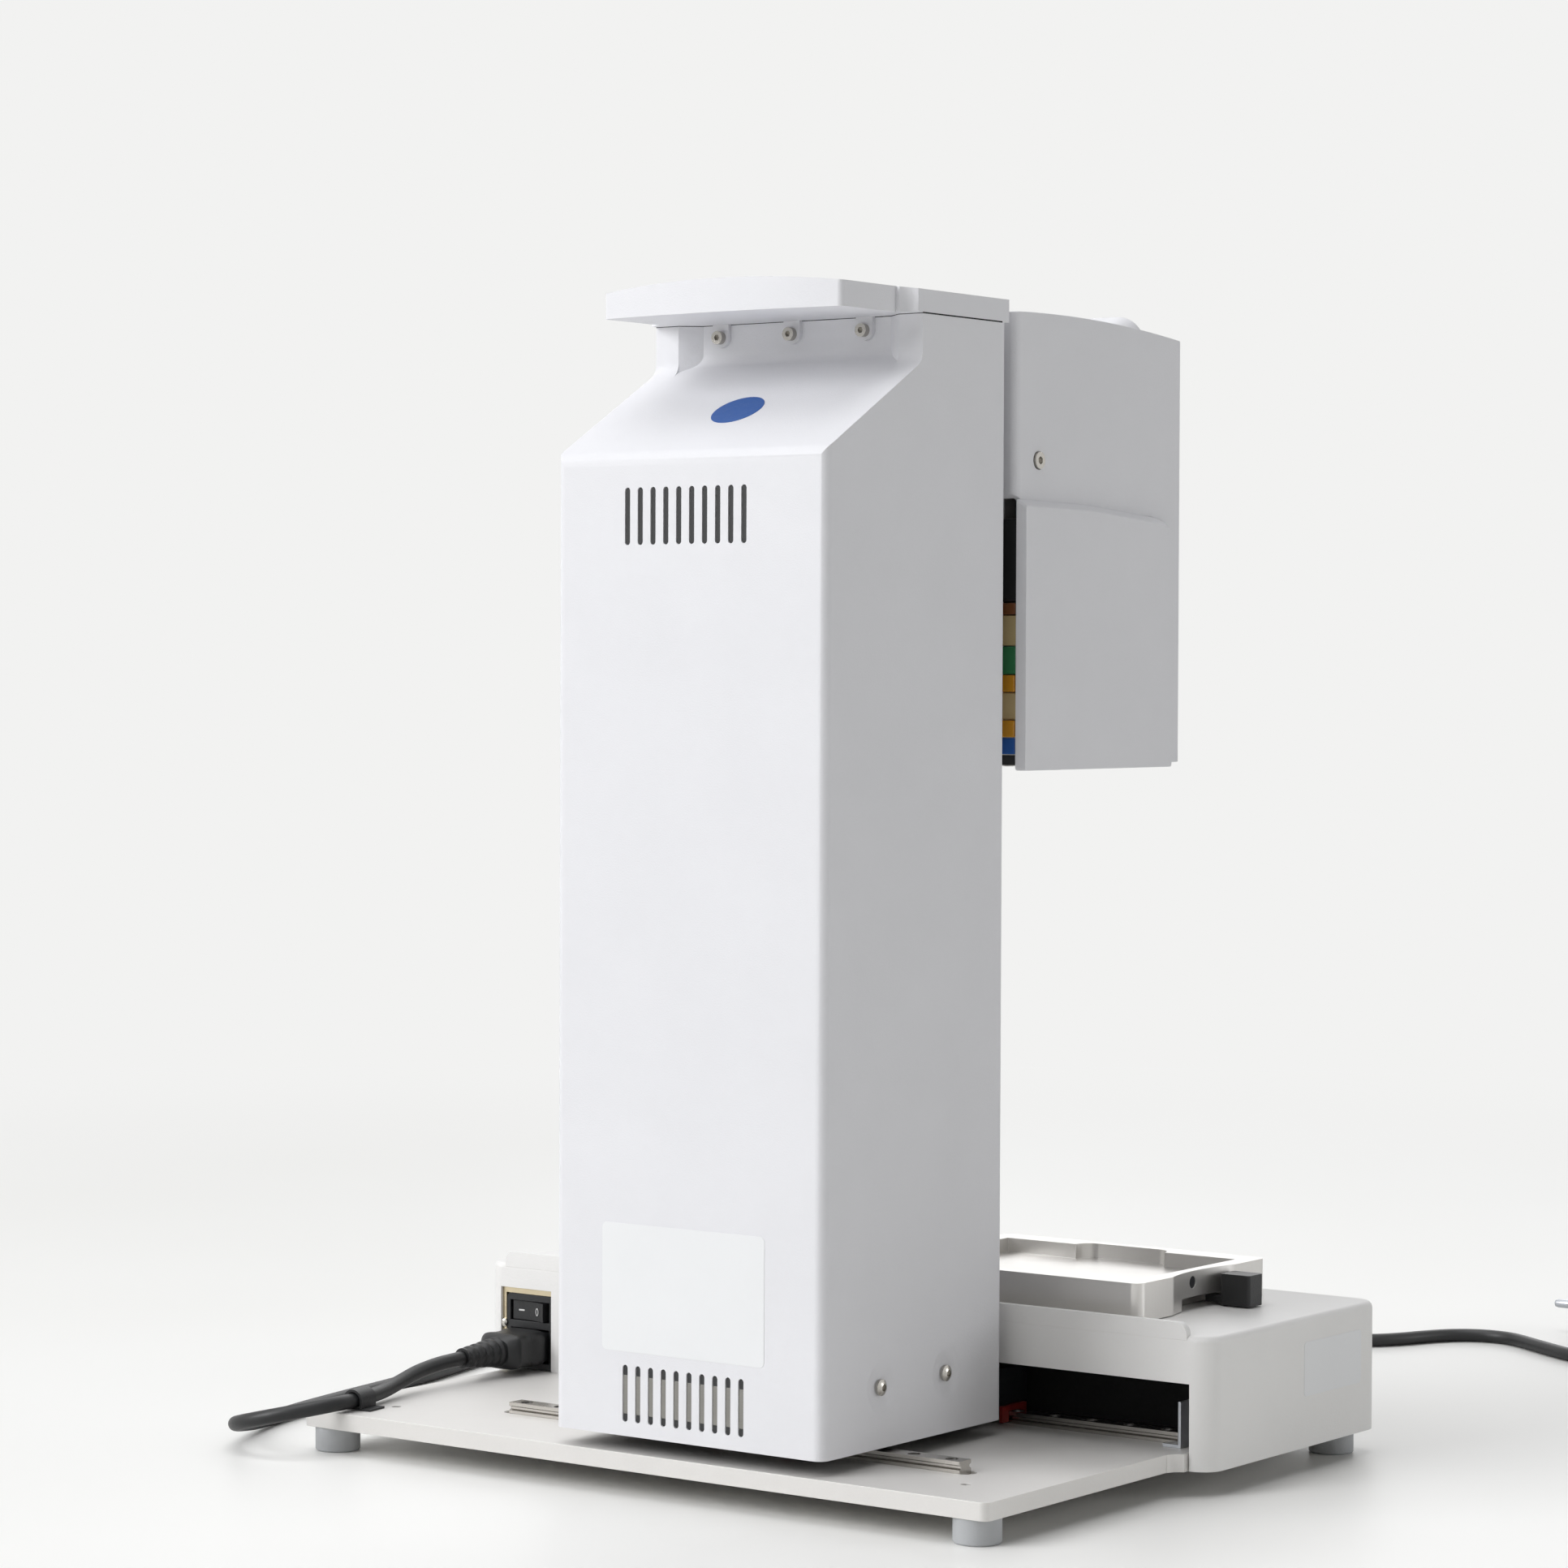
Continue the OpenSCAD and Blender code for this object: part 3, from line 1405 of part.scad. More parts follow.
module touch_wheel() {
    color("gainsboro") on_face() translate([0, wheel_v, -1.2]) difference() {
        cylinder(r = wheel_r, h = 1.6);
        translate([0, 0, -1]) cylinder(r = ok_r + 0.3, h = 4);
    }
}

module ok_key() {
    color("white") on_face() translate([0, wheel_v, -1.6]) cylinder(r = ok_r, h = 2.4);
}

module menu_key(s) {
    on_face() translate([s * key_u, key_v, -1.6]) cylinder(r = key_r, h = 2.4);
}

module left_key() {
    color("gainsboro") menu_key(-1);
}

module right_key() {
    color("gainsboro") menu_key(1);
}

module run_key() {
    color("royalblue") on_face() translate([0, run_v, -1.6]) linear_extrude(height = 2.4)
        round_rect(run_w, run_h, 2);
}

// ---------------------------------------------------------------- mains lead

plug_y = housing_y - housing_wall + inlet_proud;

// The lead's route, from the connector's boot to the coil
cord_route = [
    [183, 76, 31.3], [183.4, 92, 30.6], [183, 108, 28.8], [180.5, 124, 26.2], [176.5, 140, 24.4],
    [173, 155, 24], [171, 169, 24], [171.6, 182, 23.8], [177.3, 193.8, 22.4], [187.5, 201.8, 20],
    [200, 204.4, 17], [212.8, 201, 13.8], [223.4, 191.5, 10.8], [232.8, 177, 7.8], [241.5, 160, 5.2],
    [249.5, 139, 3.8], [257, 110, 3.6], [263, 76, 3.6], [269, 36, 3.6], [276, -6, 3.6],
    [288, -56, 3.6], [303, -110, 3.6], [311, -169, 3.6], [307, -229, 3.6], [287, -286, 3.6],
    [250, -336, 3.6], [200, -374, 3.6], [141, -398, 3.6], [80, -408, 3.6], [26, -409, 3.6],
    [-10, -403, 3.6], [-35, -401.5, 3.6], [-51, -409, 3.6], [-61, -423, 3.6], [-68, -438, 3.6],
    [-76, -451, 3.6], [-86, -459, 3.6], [-97, -462.2, 3.6], [-108, -461, 3.6], [-118, -456, 3.6],
    [-137, -443.5, 3.6], [-159, -430, 3.6], [-181, -420.5, 3.6], [-202, -416, 3.6], [-224, -415, 3.6]
];
tail_route = [
    [-218.5, -519.8, 11], [-210, -525, 11.8], [-201, -529, 12.6], [-192, -530.8, 13.8], [-183, -531, 15],
    [-176, -531, 15.8], [-170.1, -531, 16]
];
coil_r = 42;
coil_h = 14;
coil_half = 7;
coil_at = [-224, -468];

// A tube of n sides swept along points, closed at both ends
module swept_tube(points, r, sides) {
    n = len(points);
    tangent = [for (i = [0 : n - 1])
        let (a = points[max(i - 1, 0)], b = points[min(i + 1, n - 1)]) (b - a) / norm(b - a)];
    rings = [for (i = [0 : n - 1]) let (
            t = tangent[i],
            side = cross([0, 0, 1], t) / norm(cross([0, 0, 1], t)),
            up = cross(t, side)
        ) for (k = [0 : sides - 1])
            points[i] + r * (side * cos(360 * k / sides) + up * sin(360 * k / sides))];
    walls = [for (i = [0 : n - 2], k = [0 : sides - 1]) let (m = (k + 1) % sides)
        [i * sides + k, i * sides + m, (i + 1) * sides + m, (i + 1) * sides + k]];
    ends = [[for (k = [0 : sides - 1]) sides - 1 - k], [for (k = [0 : sides - 1]) (n - 1) * sides + k]];
    polyhedron(points = rings, faces = [for (f = concat([ends[0]], walls, [ends[1]])) [for (j = [len(f) - 1 : -1 : 0]) f[j]]]);
}

// A point on the smooth curve through four route points
function on_curve(p0, p1, p2, p3, t) = 0.5 * (
    2 * p1 + (p2 - p0) * t + (2 * p0 - 5 * p1 + 4 * p2 - p3) * t * t
    + (3 * p1 - p0 - 3 * p2 + p3) * t * t * t);

function smooth_route(p) = concat(
    [for (i = [0 : len(p) - 2], t = [0, 0.5])
        on_curve(p[max(i - 1, 0)], p[i], p[i + 1], p[min(i + 2, len(p) - 1)], t)],
    [p[len(p) - 1]]);

module mains_cord() {
    color([0.08, 0.08, 0.08]) swept_tube(smooth_route(cord_route), cord_d / 2, 8);
}

module cord_coil() {
    color([0.08, 0.08, 0.08]) translate([coil_at[0], coil_at[1], 0]) rotate_extrude()
        translate([coil_r - coil_half, 0]) square([2 * coil_half, coil_h]);
}

// The appliance connector with its boot, and the mains plug with the short end of lead from the coil
module cord_plugs() {
    color([0.07, 0.07, 0.07]) {
        difference() {
            union() {
                translate([inlet_x, plug_y, socket_z - 7.5]) block([socket_w - 0.8, 24, 15]);
                translate([inlet_x, plug_y + 14.5, socket_z - 9]) round_block(26, 24, 18, 3);
                translate([inlet_x, plug_y + 26, socket_z])
                    rotate([-90, 0, 0]) cylinder(r1 = 7.5, r2 = 5, h = cord_route[0][1] - plug_y - 26.4);
            }
            at_inlet_pins() translate([0, 5, -2.5]) block([2.8, 12, 5]);
        }
        swept_tube(tail_route, cord_d / 2, 12);
        translate([coil_at[0] + 74, coil_at[1] - 63, 16]) {
            x_rod(15.5, 26);
            translate([-20, 0, 0]) rotate([0, 90, 0]) cylinder(r1 = 4.5, r2 = 7, h = 21);
            for (s = [-1, 1]) translate([25, s * 9.5, 0]) x_rod(2.4, 20);
        }
    }
}

// ---------------------------------------------------------------- assembly

base_plate();
feet();
front_housing();
rear_rail();
front_rail();
base_screws();
rail_stops();
inlet_panel();
mains_inlet();
cable_clip();
power_supply();
main_board();
usb_port();
plate_holder_b();
holder_b_clip();
shift_guides();
mains_rocker();
plate_holder_a();
holder_a_clip();
dowel_pin();
selector_knob();
tower_foot();
floor_blocks();
block_seals();
lift_column();
lift_rails();
lift_motor();
screw_bearings();
tower_fan();
tower_board();
tower_front_panel();
tower_cover();
tower_cap();
cap_screws();
cover_screws();
lift_screw();
lift_carriage();
lift_blocks();
head_frame();
channel_block();
guide_pins();
plunger_motor();
head_board();
head_cover();
side_covers();
head_screws();
console_shell();
console_face();
display();
touch_wheel();
plunger_plate();
plunger_screw();
tip_stripper();
run_key();
ok_key();
left_key();
right_key();
mains_cord();
cord_coil();
cord_plugs();
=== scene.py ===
# Bench-top liquid handling robot: camera, light, lead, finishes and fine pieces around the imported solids.
# The scene is in metres, in the frame of the solids; lengths in the settings of the pieces are millimetres.
import json
import math
import bpy
import bmesh
import numpy as np
from mathutils import Matrix, Vector


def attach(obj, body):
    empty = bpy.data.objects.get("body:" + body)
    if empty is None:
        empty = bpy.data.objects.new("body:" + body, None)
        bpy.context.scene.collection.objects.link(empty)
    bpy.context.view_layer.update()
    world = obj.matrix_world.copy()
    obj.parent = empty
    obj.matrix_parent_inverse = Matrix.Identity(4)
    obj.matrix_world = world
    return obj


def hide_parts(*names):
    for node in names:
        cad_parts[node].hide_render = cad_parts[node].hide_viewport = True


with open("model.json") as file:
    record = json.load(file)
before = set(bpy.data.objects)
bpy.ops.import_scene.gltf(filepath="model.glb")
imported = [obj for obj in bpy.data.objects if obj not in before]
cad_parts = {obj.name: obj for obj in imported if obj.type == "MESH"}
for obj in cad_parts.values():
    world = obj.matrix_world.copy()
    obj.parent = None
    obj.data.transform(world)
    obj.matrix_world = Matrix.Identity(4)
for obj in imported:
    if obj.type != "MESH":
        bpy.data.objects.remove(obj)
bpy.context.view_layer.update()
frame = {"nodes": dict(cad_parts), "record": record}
print("frame loaded:", len(frame["nodes"]), "solids")

mm = 0.001


# An sRGB hex colour turned to linear: c/12.92 below 0.04045, else ((c+0.055)/1.055)^2.4
def linearColour(hexText):
    parts = [int(hexText[i:i + 2], 16) / 255 for i in (1, 3, 5)]
    return [c / 12.92 if c <= 0.04045 else ((c + 0.055) / 1.055) ** 2.4 for c in parts] + [1.0]


# Adds a node, sets its attributes, and feeds each input with a number, a colour or another node's output
def addNode(tree, kind, settings=None, inputs=None):
    node = tree.nodes.new(kind)
    for key, value in (settings or {}).items():
        setattr(node, key, value)
    for key, value in (inputs or {}).items():
        socket = node.inputs[key]
        if isinstance(value, bpy.types.NodeSocket):
            tree.links.new(value, socket)
        else:
            socket.default_value = value
    return node


# A new material with an empty node tree, and its object coordinates
def newMaterial(name):
    material = bpy.data.materials.new(name)
    material.use_nodes = True
    tree = material.node_tree
    tree.nodes.clear()
    return material, tree, addNode(tree, "ShaderNodeTexCoord").outputs["Object"]


# Noise from 0 to 1 over the given coordinates
def noise(tree, coords, scale, detail):
    inputs = {"Vector": coords, "Scale": scale, "Detail": detail}
    return addNode(tree, "ShaderNodeTexNoise", None, inputs).outputs["Fac"]


# The colour between two tints at a factor
def tintBetween(tree, factor, tint, shade):
    inputs = {0: factor, 6: linearColour(tint), 7: linearColour(shade)}
    return addNode(tree, "ShaderNodeMix", {"data_type": "RGBA"}, inputs).outputs[2]


# A factor from 0 to 1 carried to the range between two values
def spread(tree, factor, low, high):
    inputs = {"Value": factor, "To Min": low, "To Max": high}
    return addNode(tree, "ShaderNodeMapRange", None, inputs).outputs[0]


# A bumped normal: the height's share of the distance in metres, at the given strength
def bumped(tree, height, strength, distance):
    inputs = {"Strength": strength, "Distance": distance, "Height": height}
    return addNode(tree, "ShaderNodeBump", None, inputs).outputs[0]


# A mesh object from arrays of points and faces
def meshObject(name, points, faces, smooth=True):
    mesh = bpy.data.meshes.new(name)
    corners = [tuple(int(i) for i in face) for face in faces]
    mesh.from_pydata([tuple(p) for p in np.asarray(points, float)], [], corners)
    mesh.validate()
    mesh.polygons.foreach_set("use_smooth", [smooth] * len(mesh.polygons))
    mesh.update()
    piece = bpy.data.objects.new(name, mesh)
    bpy.context.scene.collection.objects.link(piece)
    return piece


# Quads between neighbours of a rows x cols grid of points, closed round the columns if asked
def gridFaces(rows, cols, wrap=False):
    i, j = np.meshgrid(np.arange(rows - 1), np.arange(cols if wrap else cols - 1), indexing="ij")
    k = (j + 1) % cols
    return np.stack([i * cols + j, i * cols + k, (i + 1) * cols + k, (i + 1) * cols + j], -1).reshape(-1, 4)


# A closed tube of rings: quads between the rings, and a flat face at each end
def tubeFaces(rings, sides):
    faces = [list(f) for f in gridFaces(rings, sides, True)]
    return faces + [list(range(sides))[::-1], list(range((rings - 1) * sides, rings * sides))]


# Turns a closed mesh's faces outwards, and marks the edges above an angle in degrees as sharp
def outward(piece, sharp=None):
    bm = bmesh.new()
    bm.from_mesh(piece.data)
    bmesh.ops.recalc_face_normals(bm, faces=bm.faces)
    bm.to_mesh(piece.data)
    bm.free()
    if sharp:
        piece.data.set_sharp_from_angle(angle=math.radians(sharp))


cameraView = {"place": (-1.2051, 1.6895, 0.3655), "azimuth": 306.504, "down": 1.4556, "roll": -0.2122,
              "focalPixels": 5393.2, "imagePixels": 1932, "sensor": 36, "clipEnd": 30}


# The camera looks along the azimuth, tipped down and rolled about its own line of sight
def makeCamera(s):
    az, down, roll = (math.radians(s[k]) for k in ("azimuth", "down", "roll"))
    forward = Vector((math.cos(az) * math.cos(down), math.sin(az) * math.cos(down), -math.sin(down)))
    right = forward.cross(Vector((0, 0, 1))).normalized()
    below = forward.cross(right)
    rightRolled = right * math.cos(roll) + below * math.sin(roll)
    belowRolled = below * math.cos(roll) - right * math.sin(roll)
    camera = bpy.data.objects.new("camera", bpy.data.cameras.new("camera"))
    camera.data.sensor_width = s["sensor"]
    camera.data.lens = s["sensor"] * s["focalPixels"] / s["imagePixels"]
    camera.data.clip_end = s["clipEnd"]
    turn = Matrix((rightRolled, -belowRolled, -forward)).transposed()
    camera.matrix_world = Matrix.Translation(s["place"]) @ turn.to_4x4()
    bpy.context.scene.collection.objects.link(camera)
    bpy.context.scene.camera = camera


makeCamera(cameraView)

# Metres from the origin where the floor starts and ends its turn into the backdrop's colour, and the lamps:
# name, place, size, watts. The key stands behind the tower and to its right, so the left side is shaded
stageLook = {
    "floor": "#F9F9F7", "floorShade": "#EFEEEA", "floorRadius": 6.0, "fade": (0.7, 2.0),
    "backdrop": "#F2F2F1", "worldTint": "#F6F7F8", "worldStrength": 0.11,
    "lampTint": (0.98, 0.985, 1.0), "aim": (-0.05, 0.0, 0.28),
    "lamps": [
        ("keyLamp", (2.2, 3.8, 2.7), 3.0, 178),
        ("topLamp", (0.45, 0.45, 4.0), 3.6, 84),
        ("grazeLamp", (-1.2, 3.9, 2.2), 1.0, 4.0),
        ("lowLamp", (-3.4, -1.9, 1.0), 1.6, 24),
        ("frontLamp", (1.5, -3.75, 2.5), 3.0, 36),
    ]}


# 1 for rays from the camera and for those that come off metal or through glass, else 0
def seenDirectly(tree):
    path = addNode(tree, "ShaderNodeLightPath")
    most = path.outputs["Is Camera Ray"]
    for ray in ("Is Transmission Ray", "Is Glossy Ray"):
        larger = addNode(tree, "ShaderNodeMath", {"operation": "MAXIMUM"}, {0: most, 1: path.outputs[ray]})
        most = larger.outputs[0]
    return most


# A wide disc under the object; far out, and only to the eye, it turns into the backdrop's colour
def makeFloor(s):
    rings, turns = 6, 72
    radius = np.linspace(0.02, s["floorRadius"], rings)[:, None]
    angle = np.linspace(0, 2 * np.pi, turns, endpoint=False)[None, :]
    points = np.stack([radius * np.cos(angle), radius * np.sin(angle), 0 * radius * angle], -1).reshape(-1, 3)
    floor = meshObject("floor", points, list(gridFaces(rings, turns, True)) + [list(range(turns))[::-1]])
    # laminate bench top, nearly even, a little glossy
    material, tree, coords = newMaterial("paleLaminate")
    shade = tintBetween(tree, noise(tree, coords, 1.3, 2.0), s["floor"], s["floorShade"])
    surface = addNode(tree, "ShaderNodeBsdfPrincipled", None,
                      {"Base Color": shade, "Roughness": 0.42, "Specular IOR Level": 0.35})
    far = addNode(tree, "ShaderNodeVectorMath", {"operation": "LENGTH"}, {0: coords})
    fade = addNode(tree, "ShaderNodeMapRange", {"interpolation_type": "SMOOTHSTEP"},
                   {"Value": far.outputs["Value"], "From Min": s["fade"][0], "From Max": s["fade"][1]})
    shown = addNode(tree, "ShaderNodeMath", {"operation": "MULTIPLY"},
                    {0: fade.outputs[0], 1: seenDirectly(tree)})
    bright = addNode(tree, "ShaderNodeEmission", None,
                     {"Color": linearColour(s["backdrop"]), "Strength": 1.0})
    both = addNode(tree, "ShaderNodeMixShader", None,
                   {0: shown.outputs[0], 1: surface.outputs[0], 2: bright.outputs[0]})
    addNode(tree, "ShaderNodeOutputMaterial", None, {"Surface": both.outputs[0]})
    floor.data.materials.append(material)


# A world in the backdrop's colour to the eye, and a soft light to the object
def makeWorld(s):
    world = bpy.data.worlds.new("paleRoom")
    bpy.context.scene.world = world
    world.use_nodes = True
    tree = world.node_tree
    tree.nodes.clear()
    soft = addNode(tree, "ShaderNodeBackground", None,
                   {"Color": linearColour(s["worldTint"]), "Strength": s["worldStrength"]})
    bright = addNode(tree, "ShaderNodeBackground", None,
                     {"Color": linearColour(s["backdrop"]), "Strength": 1.0})
    both = addNode(tree, "ShaderNodeMixShader", None,
                   {0: seenDirectly(tree), 1: soft.outputs[0], 2: bright.outputs[0]})
    addNode(tree, "ShaderNodeOutputWorld", None, {"Surface": both.outputs[0]})


# Square area lamps, all turned towards the middle of the object
def makeLamps(s):
    for name, spot, size, watts in s["lamps"]:
        lamp = bpy.data.objects.new(name, bpy.data.lights.new(name, "AREA"))
        lamp.data.size = size
        lamp.data.energy = watts
        lamp.data.color = s["lampTint"]
        lamp.location = spot
        lamp.rotation_mode = "QUATERNION"
        lamp.rotation_quaternion = (Vector(s["aim"]) - Vector(spot)).to_track_quat("-Z", "Y")
        bpy.context.scene.collection.objects.link(lamp)


makeFloor(stageLook)
makeWorld(stageLook)
makeLamps(stageLook)
bpy.context.scene.view_settings.view_transform = "Standard"
print("camera and stage made")


# The smooth run through a route: a cubic between each pair of points, taken again at even steps of its
# length
def smoothRun(route, step):
    samples = 24
    p = np.asarray(route, float)
    t = np.linspace(0, len(p) - 1, (len(p) - 1) * samples + 1)
    i = np.minimum(t.astype(int), len(p) - 2)
    f = (t - i)[:, None]
    a, b, c, d = (p[np.clip(i + k, 0, len(p) - 1)] for k in (-1, 0, 1, 2))
    q = 0.5 * (2 * b + (c - a) * f + (2 * a - 5 * b + 4 * c - d) * f ** 2 + (3 * b - a - 3 * c + d) * f ** 3)
    along = np.r_[0, np.cumsum(np.linalg.norm(np.diff(q, axis=0), axis=1))]
    even = np.linspace(0, along[-1], max(3, int(round(along[-1] / step)) + 1))
    return np.stack([np.interp(even, along, q[:, k]) for k in range(3)], 1)


# A soft step from 0 to 1: x squared times (3 - 2x)
def ease(x):
    x = np.clip(x, 0, 1)
    return x * x * (3 - 2 * x)


# The route from the connector to the coil, the coil's rings and turns, and the tail up to the plug.
# Each change in the coil has the turn in degrees where it starts and how many degrees it takes
mainsLead = {
    "radius": 3.5, "sides": 24, "step": 4.0,
    "route": [
        [183, 76, 31.3], [183.4, 92, 30.6], [183, 108, 28.8], [180.5, 124, 26.2], [176.5, 140, 24.4],
        [173, 155, 24], [171, 169, 24], [171.6, 182, 23.8], [177.3, 193.8, 22.4], [187.5, 201.8, 20],
        [200, 204.4, 17], [212.8, 201, 13.8], [223.4, 191.5, 10.8], [232.8, 177, 7.8], [241.5, 160, 5.2],
        [249.5, 139, 3.8], [257, 110, 3.6], [263, 76, 3.6], [269, 36, 3.6], [276, -6, 3.6],
        [288, -56, 3.6], [303, -110, 3.6], [311, -169, 3.6], [307, -229, 3.6], [287, -286, 3.6],
        [250, -336, 3.6], [200, -374, 3.6], [141, -398, 3.6], [80, -408, 3.6], [26, -409, 3.6],
        [-10, -403, 3.6], [-35, -401.5, 3.6], [-51, -409, 3.6], [-61, -423, 3.6], [-68, -438, 3.6],
        [-76, -451, 3.6], [-86, -459, 3.6], [-97, -462.2, 3.6], [-108, -461, 3.6], [-118, -456, 3.6],
        [-137, -443.5, 3.6], [-159, -430, 3.6], [-181, -420.5, 3.6], [-202, -416, 3.6], [-224, -415, 3.6]],
    "coilCentre": (-224, -468), "coilTurns": (90, 960, 6.0), "rings": (53, 45.5, 38.5), "level": 3.6,
    "toMiddle": (90, 90), "toInner": (450, 60), "climb": (745, 75), "leave": (820, 80),
    "lift": 7.0, "leaveOut": 3.5, "leaveDown": 0.2,
    "tail": [
        [-232.9, -511.4, 10.7], [-218.8, -519.6, 11], [-210, -525, 11.8], [-201, -529, 12.6],
        [-192, -530.8, 13.8], [-183, -531, 15], [-170, -531, 16]]}


# The coil: angle runs evenly, the radius steps in twice as the turns pass inside each other, and the last
# part climbs
def leadRoute(s):
    first, last, step = s["coilTurns"]
    turn = np.arange(first, last + 0.1, step)
    shares = [ease((turn - s[k][0]) / s[k][1]) for k in ("toMiddle", "toInner", "climb", "leave")]
    toMiddle, toInner, climb, leave = shares
    outer, middle, inner = s["rings"]
    radius = outer - (outer - middle) * toMiddle - (middle - inner) * toInner + s["leaveOut"] * leave
    height = s["level"] + s["lift"] * climb - s["leaveDown"] * leave
    x, y = s["coilCentre"]
    angle = np.radians(turn)
    coil = np.stack([x + radius * np.cos(angle), y + radius * np.sin(angle), height], 1)
    return np.vstack([s["route"], coil[1:], s["tail"]])


# A round tube along a run: each ring stands square to the run, with one side level, at the given radius
def sweptTube(name, run, radius, sides):
    run = np.asarray(run, float)
    ahead = np.gradient(run, axis=0)
    ahead /= np.linalg.norm(ahead, axis=1)[:, None]
    level = np.cross([0.0, 0.0, 1.0], ahead)
    level /= np.linalg.norm(level, axis=1)[:, None]
    over = np.cross(ahead, level)
    angle = np.linspace(0, 2 * np.pi, sides, endpoint=False)[None, :, None]
    points = run[:, None] + radius * (np.cos(angle) * level[:, None] + np.sin(angle) * over[:, None])
    piece = meshObject(name, points.reshape(-1, 3) * mm, tubeFaces(len(run), sides))
    outward(piece, 50)
    return piece


# A closed skin along an axis: each station (distance, a, b, n) is the ring |x/a|^n + |z/b|^n = 1, joined
# to the next
def loftAlong(name, start, direction, stations, sides=48):
    st = np.asarray(stations, float)
    axis = np.asarray(direction, float)
    up = np.array([0.0, 0.0, 1.0]) if abs(axis[2]) < 0.9 else np.array([0.0, 1.0, 0.0])
    side = np.cross(axis, up)
    angle = np.linspace(0, 2 * np.pi, sides, endpoint=False)
    c, w = np.cos(angle), np.sin(angle)
    x = np.sign(c) * np.abs(c) ** (2 / st[:, 3:4]) * st[:, 1:2]
    z = np.sign(w) * np.abs(w) ** (2 / st[:, 3:4]) * st[:, 2:3]
    points = np.asarray(start) + st[:, 0, None, None] * axis + x[..., None] * side + z[..., None] * up
    piece = meshObject(name, points.reshape(-1, 3) * mm, tubeFaces(len(st), sides))
    outward(piece, 35)
    return piece


# Several closed skins made one piece
def joined(name, parts):
    bm = bmesh.new()
    for part in parts:
        bm.from_mesh(part.data)
        mesh = part.data
        bpy.data.objects.remove(part)
        bpy.data.meshes.remove(mesh)
    mesh = bpy.data.meshes.new(name)
    bm.to_mesh(mesh)
    bm.free()
    piece = bpy.data.objects.new(name, mesh)
    bpy.context.scene.collection.objects.link(piece)
    return piece


# Ribs of a bend relief: the radius runs from r0 to r1, plain at the very start, and dips into round grooves
def ribbedTaper(r0, r1, length, grooves, depth):
    t = np.linspace(0, 1, 12 * grooves + 1)
    wave = 0.5 - 0.5 * np.cos(2 * np.pi * grooves * t)
    radius = r0 + (r1 - r0) * t - depth * wave ** 3 * (t > 0.04)
    return np.stack([length * t, radius, radius, 0 * t + 2], 1)


# Nose and grip: half width, half height, length; relief: first and last radius, length; and where two of
# them start
connector = {"at": (183.0, 12.4, 31.3), "nose": (11.8, 7.4, 24), "grip": (12.9, 8.9, 24),
             "relief": (7.4, 4.9, 25.2), "gripStart": 14.4, "reliefStart": 38.0,
             "edge": 0.6, "rounding": (1.2, 1.0)}


# The appliance connector: a straight nose in the inlet, a grip and a ribbed bend relief. The grip is a
# tenth
# slimmer at its waist and tapers by about a quarter in its last fifth; its ends are rounded by quarter
# circles
def makeConnector(s):
    x, y, z = s["at"]
    a, b, length = s["nose"]
    e = s["edge"]
    stations = [(0, a - e, b - e, 9), (e, a, b, 9), (length, a, b, 9)]
    nose = loftAlong("nose", (x, y, z), (0, 1, 0), stations, 64)
    a, b, length = s["grip"]
    t = np.linspace(0, 1, 22)
    waist = 1 - 0.10 * np.sin(np.pi * np.clip((t - 0.12) / 0.8, 0, 1)) ** 2 - 0.26 * ease((t - 0.8) / 0.2)
    ends = np.clip(np.minimum(t, 1 - t) * length / s["rounding"][0], 0, 1)
    inset = s["rounding"][1] * (1 - np.sqrt(1 - (1 - ends) ** 2))
    order = 5 - 2 * ease((t - 0.7) / 0.3)
    stations = np.stack([length * t, a * waist - inset, b * waist ** 0.6 - inset, order], 1)
    grip = loftAlong("grip", (x, y + s["gripStart"], z), (0, 1, 0), stations, 64)
    r0, r1, length = s["relief"]
    stations = ribbedTaper(r0, r1, length, 5, 1.1)
    relief = loftAlong("leadRelief", (x, y + s["reliefStart"], z), (0, 1, 0), stations, 40)
    return joined("applianceConnector", [nose, grip]), relief


# Relief: first and last radius, length; body: start, length, radius; pins: start, pitch, and length with
# radius
plug = {"at": (-170.0, -531.0, 16.0), "relief": (4.6, 7.0, 20.4), "body": (20.2, 25.6, 15.4),
        "pins": (45.2, 19.0), "pin": [(0, 2.4), (17.6, 2.4), (19.2, 1.92), (19.8, 0.96)]}


# The mains plug: a tapering bend relief, a body that swells from half its radius and has a finger waist,
# and two pins
def makePlug(s):
    x, y, z = s["at"]
    relief = loftAlong("plugRelief", (x, y, z), (1, 0, 0), ribbedTaper(*s["relief"], 4, 1.0), 40)
    start, length, widest = s["body"]
    t = np.linspace(0, 1, 26)
    waist = 0.9 * np.sin(np.pi * np.clip((t - 0.55) / 0.3, 0, 1))
    radius = widest * (0.52 + 0.48 * ease(t / 0.55)) - waist - 1.2 * ease((t - 0.95) / 0.05)
    stations = np.stack([length * t, radius, radius, 0 * t + 2], 1)
    body = loftAlong("body", (x + start, y, z), (1, 0, 0), stations, 56)
    start, pitch = s["pins"]
    stations = [(t, r, r, 2) for t, r in s["pin"]]
    pins = [loftAlong("pin", (x + start, y + side * pitch, z), (1, 0, 0), stations, 24)
            for side in (-0.5, 0.5)]
    return joined("plugBody", [relief, body]), joined("plugPins", pins)


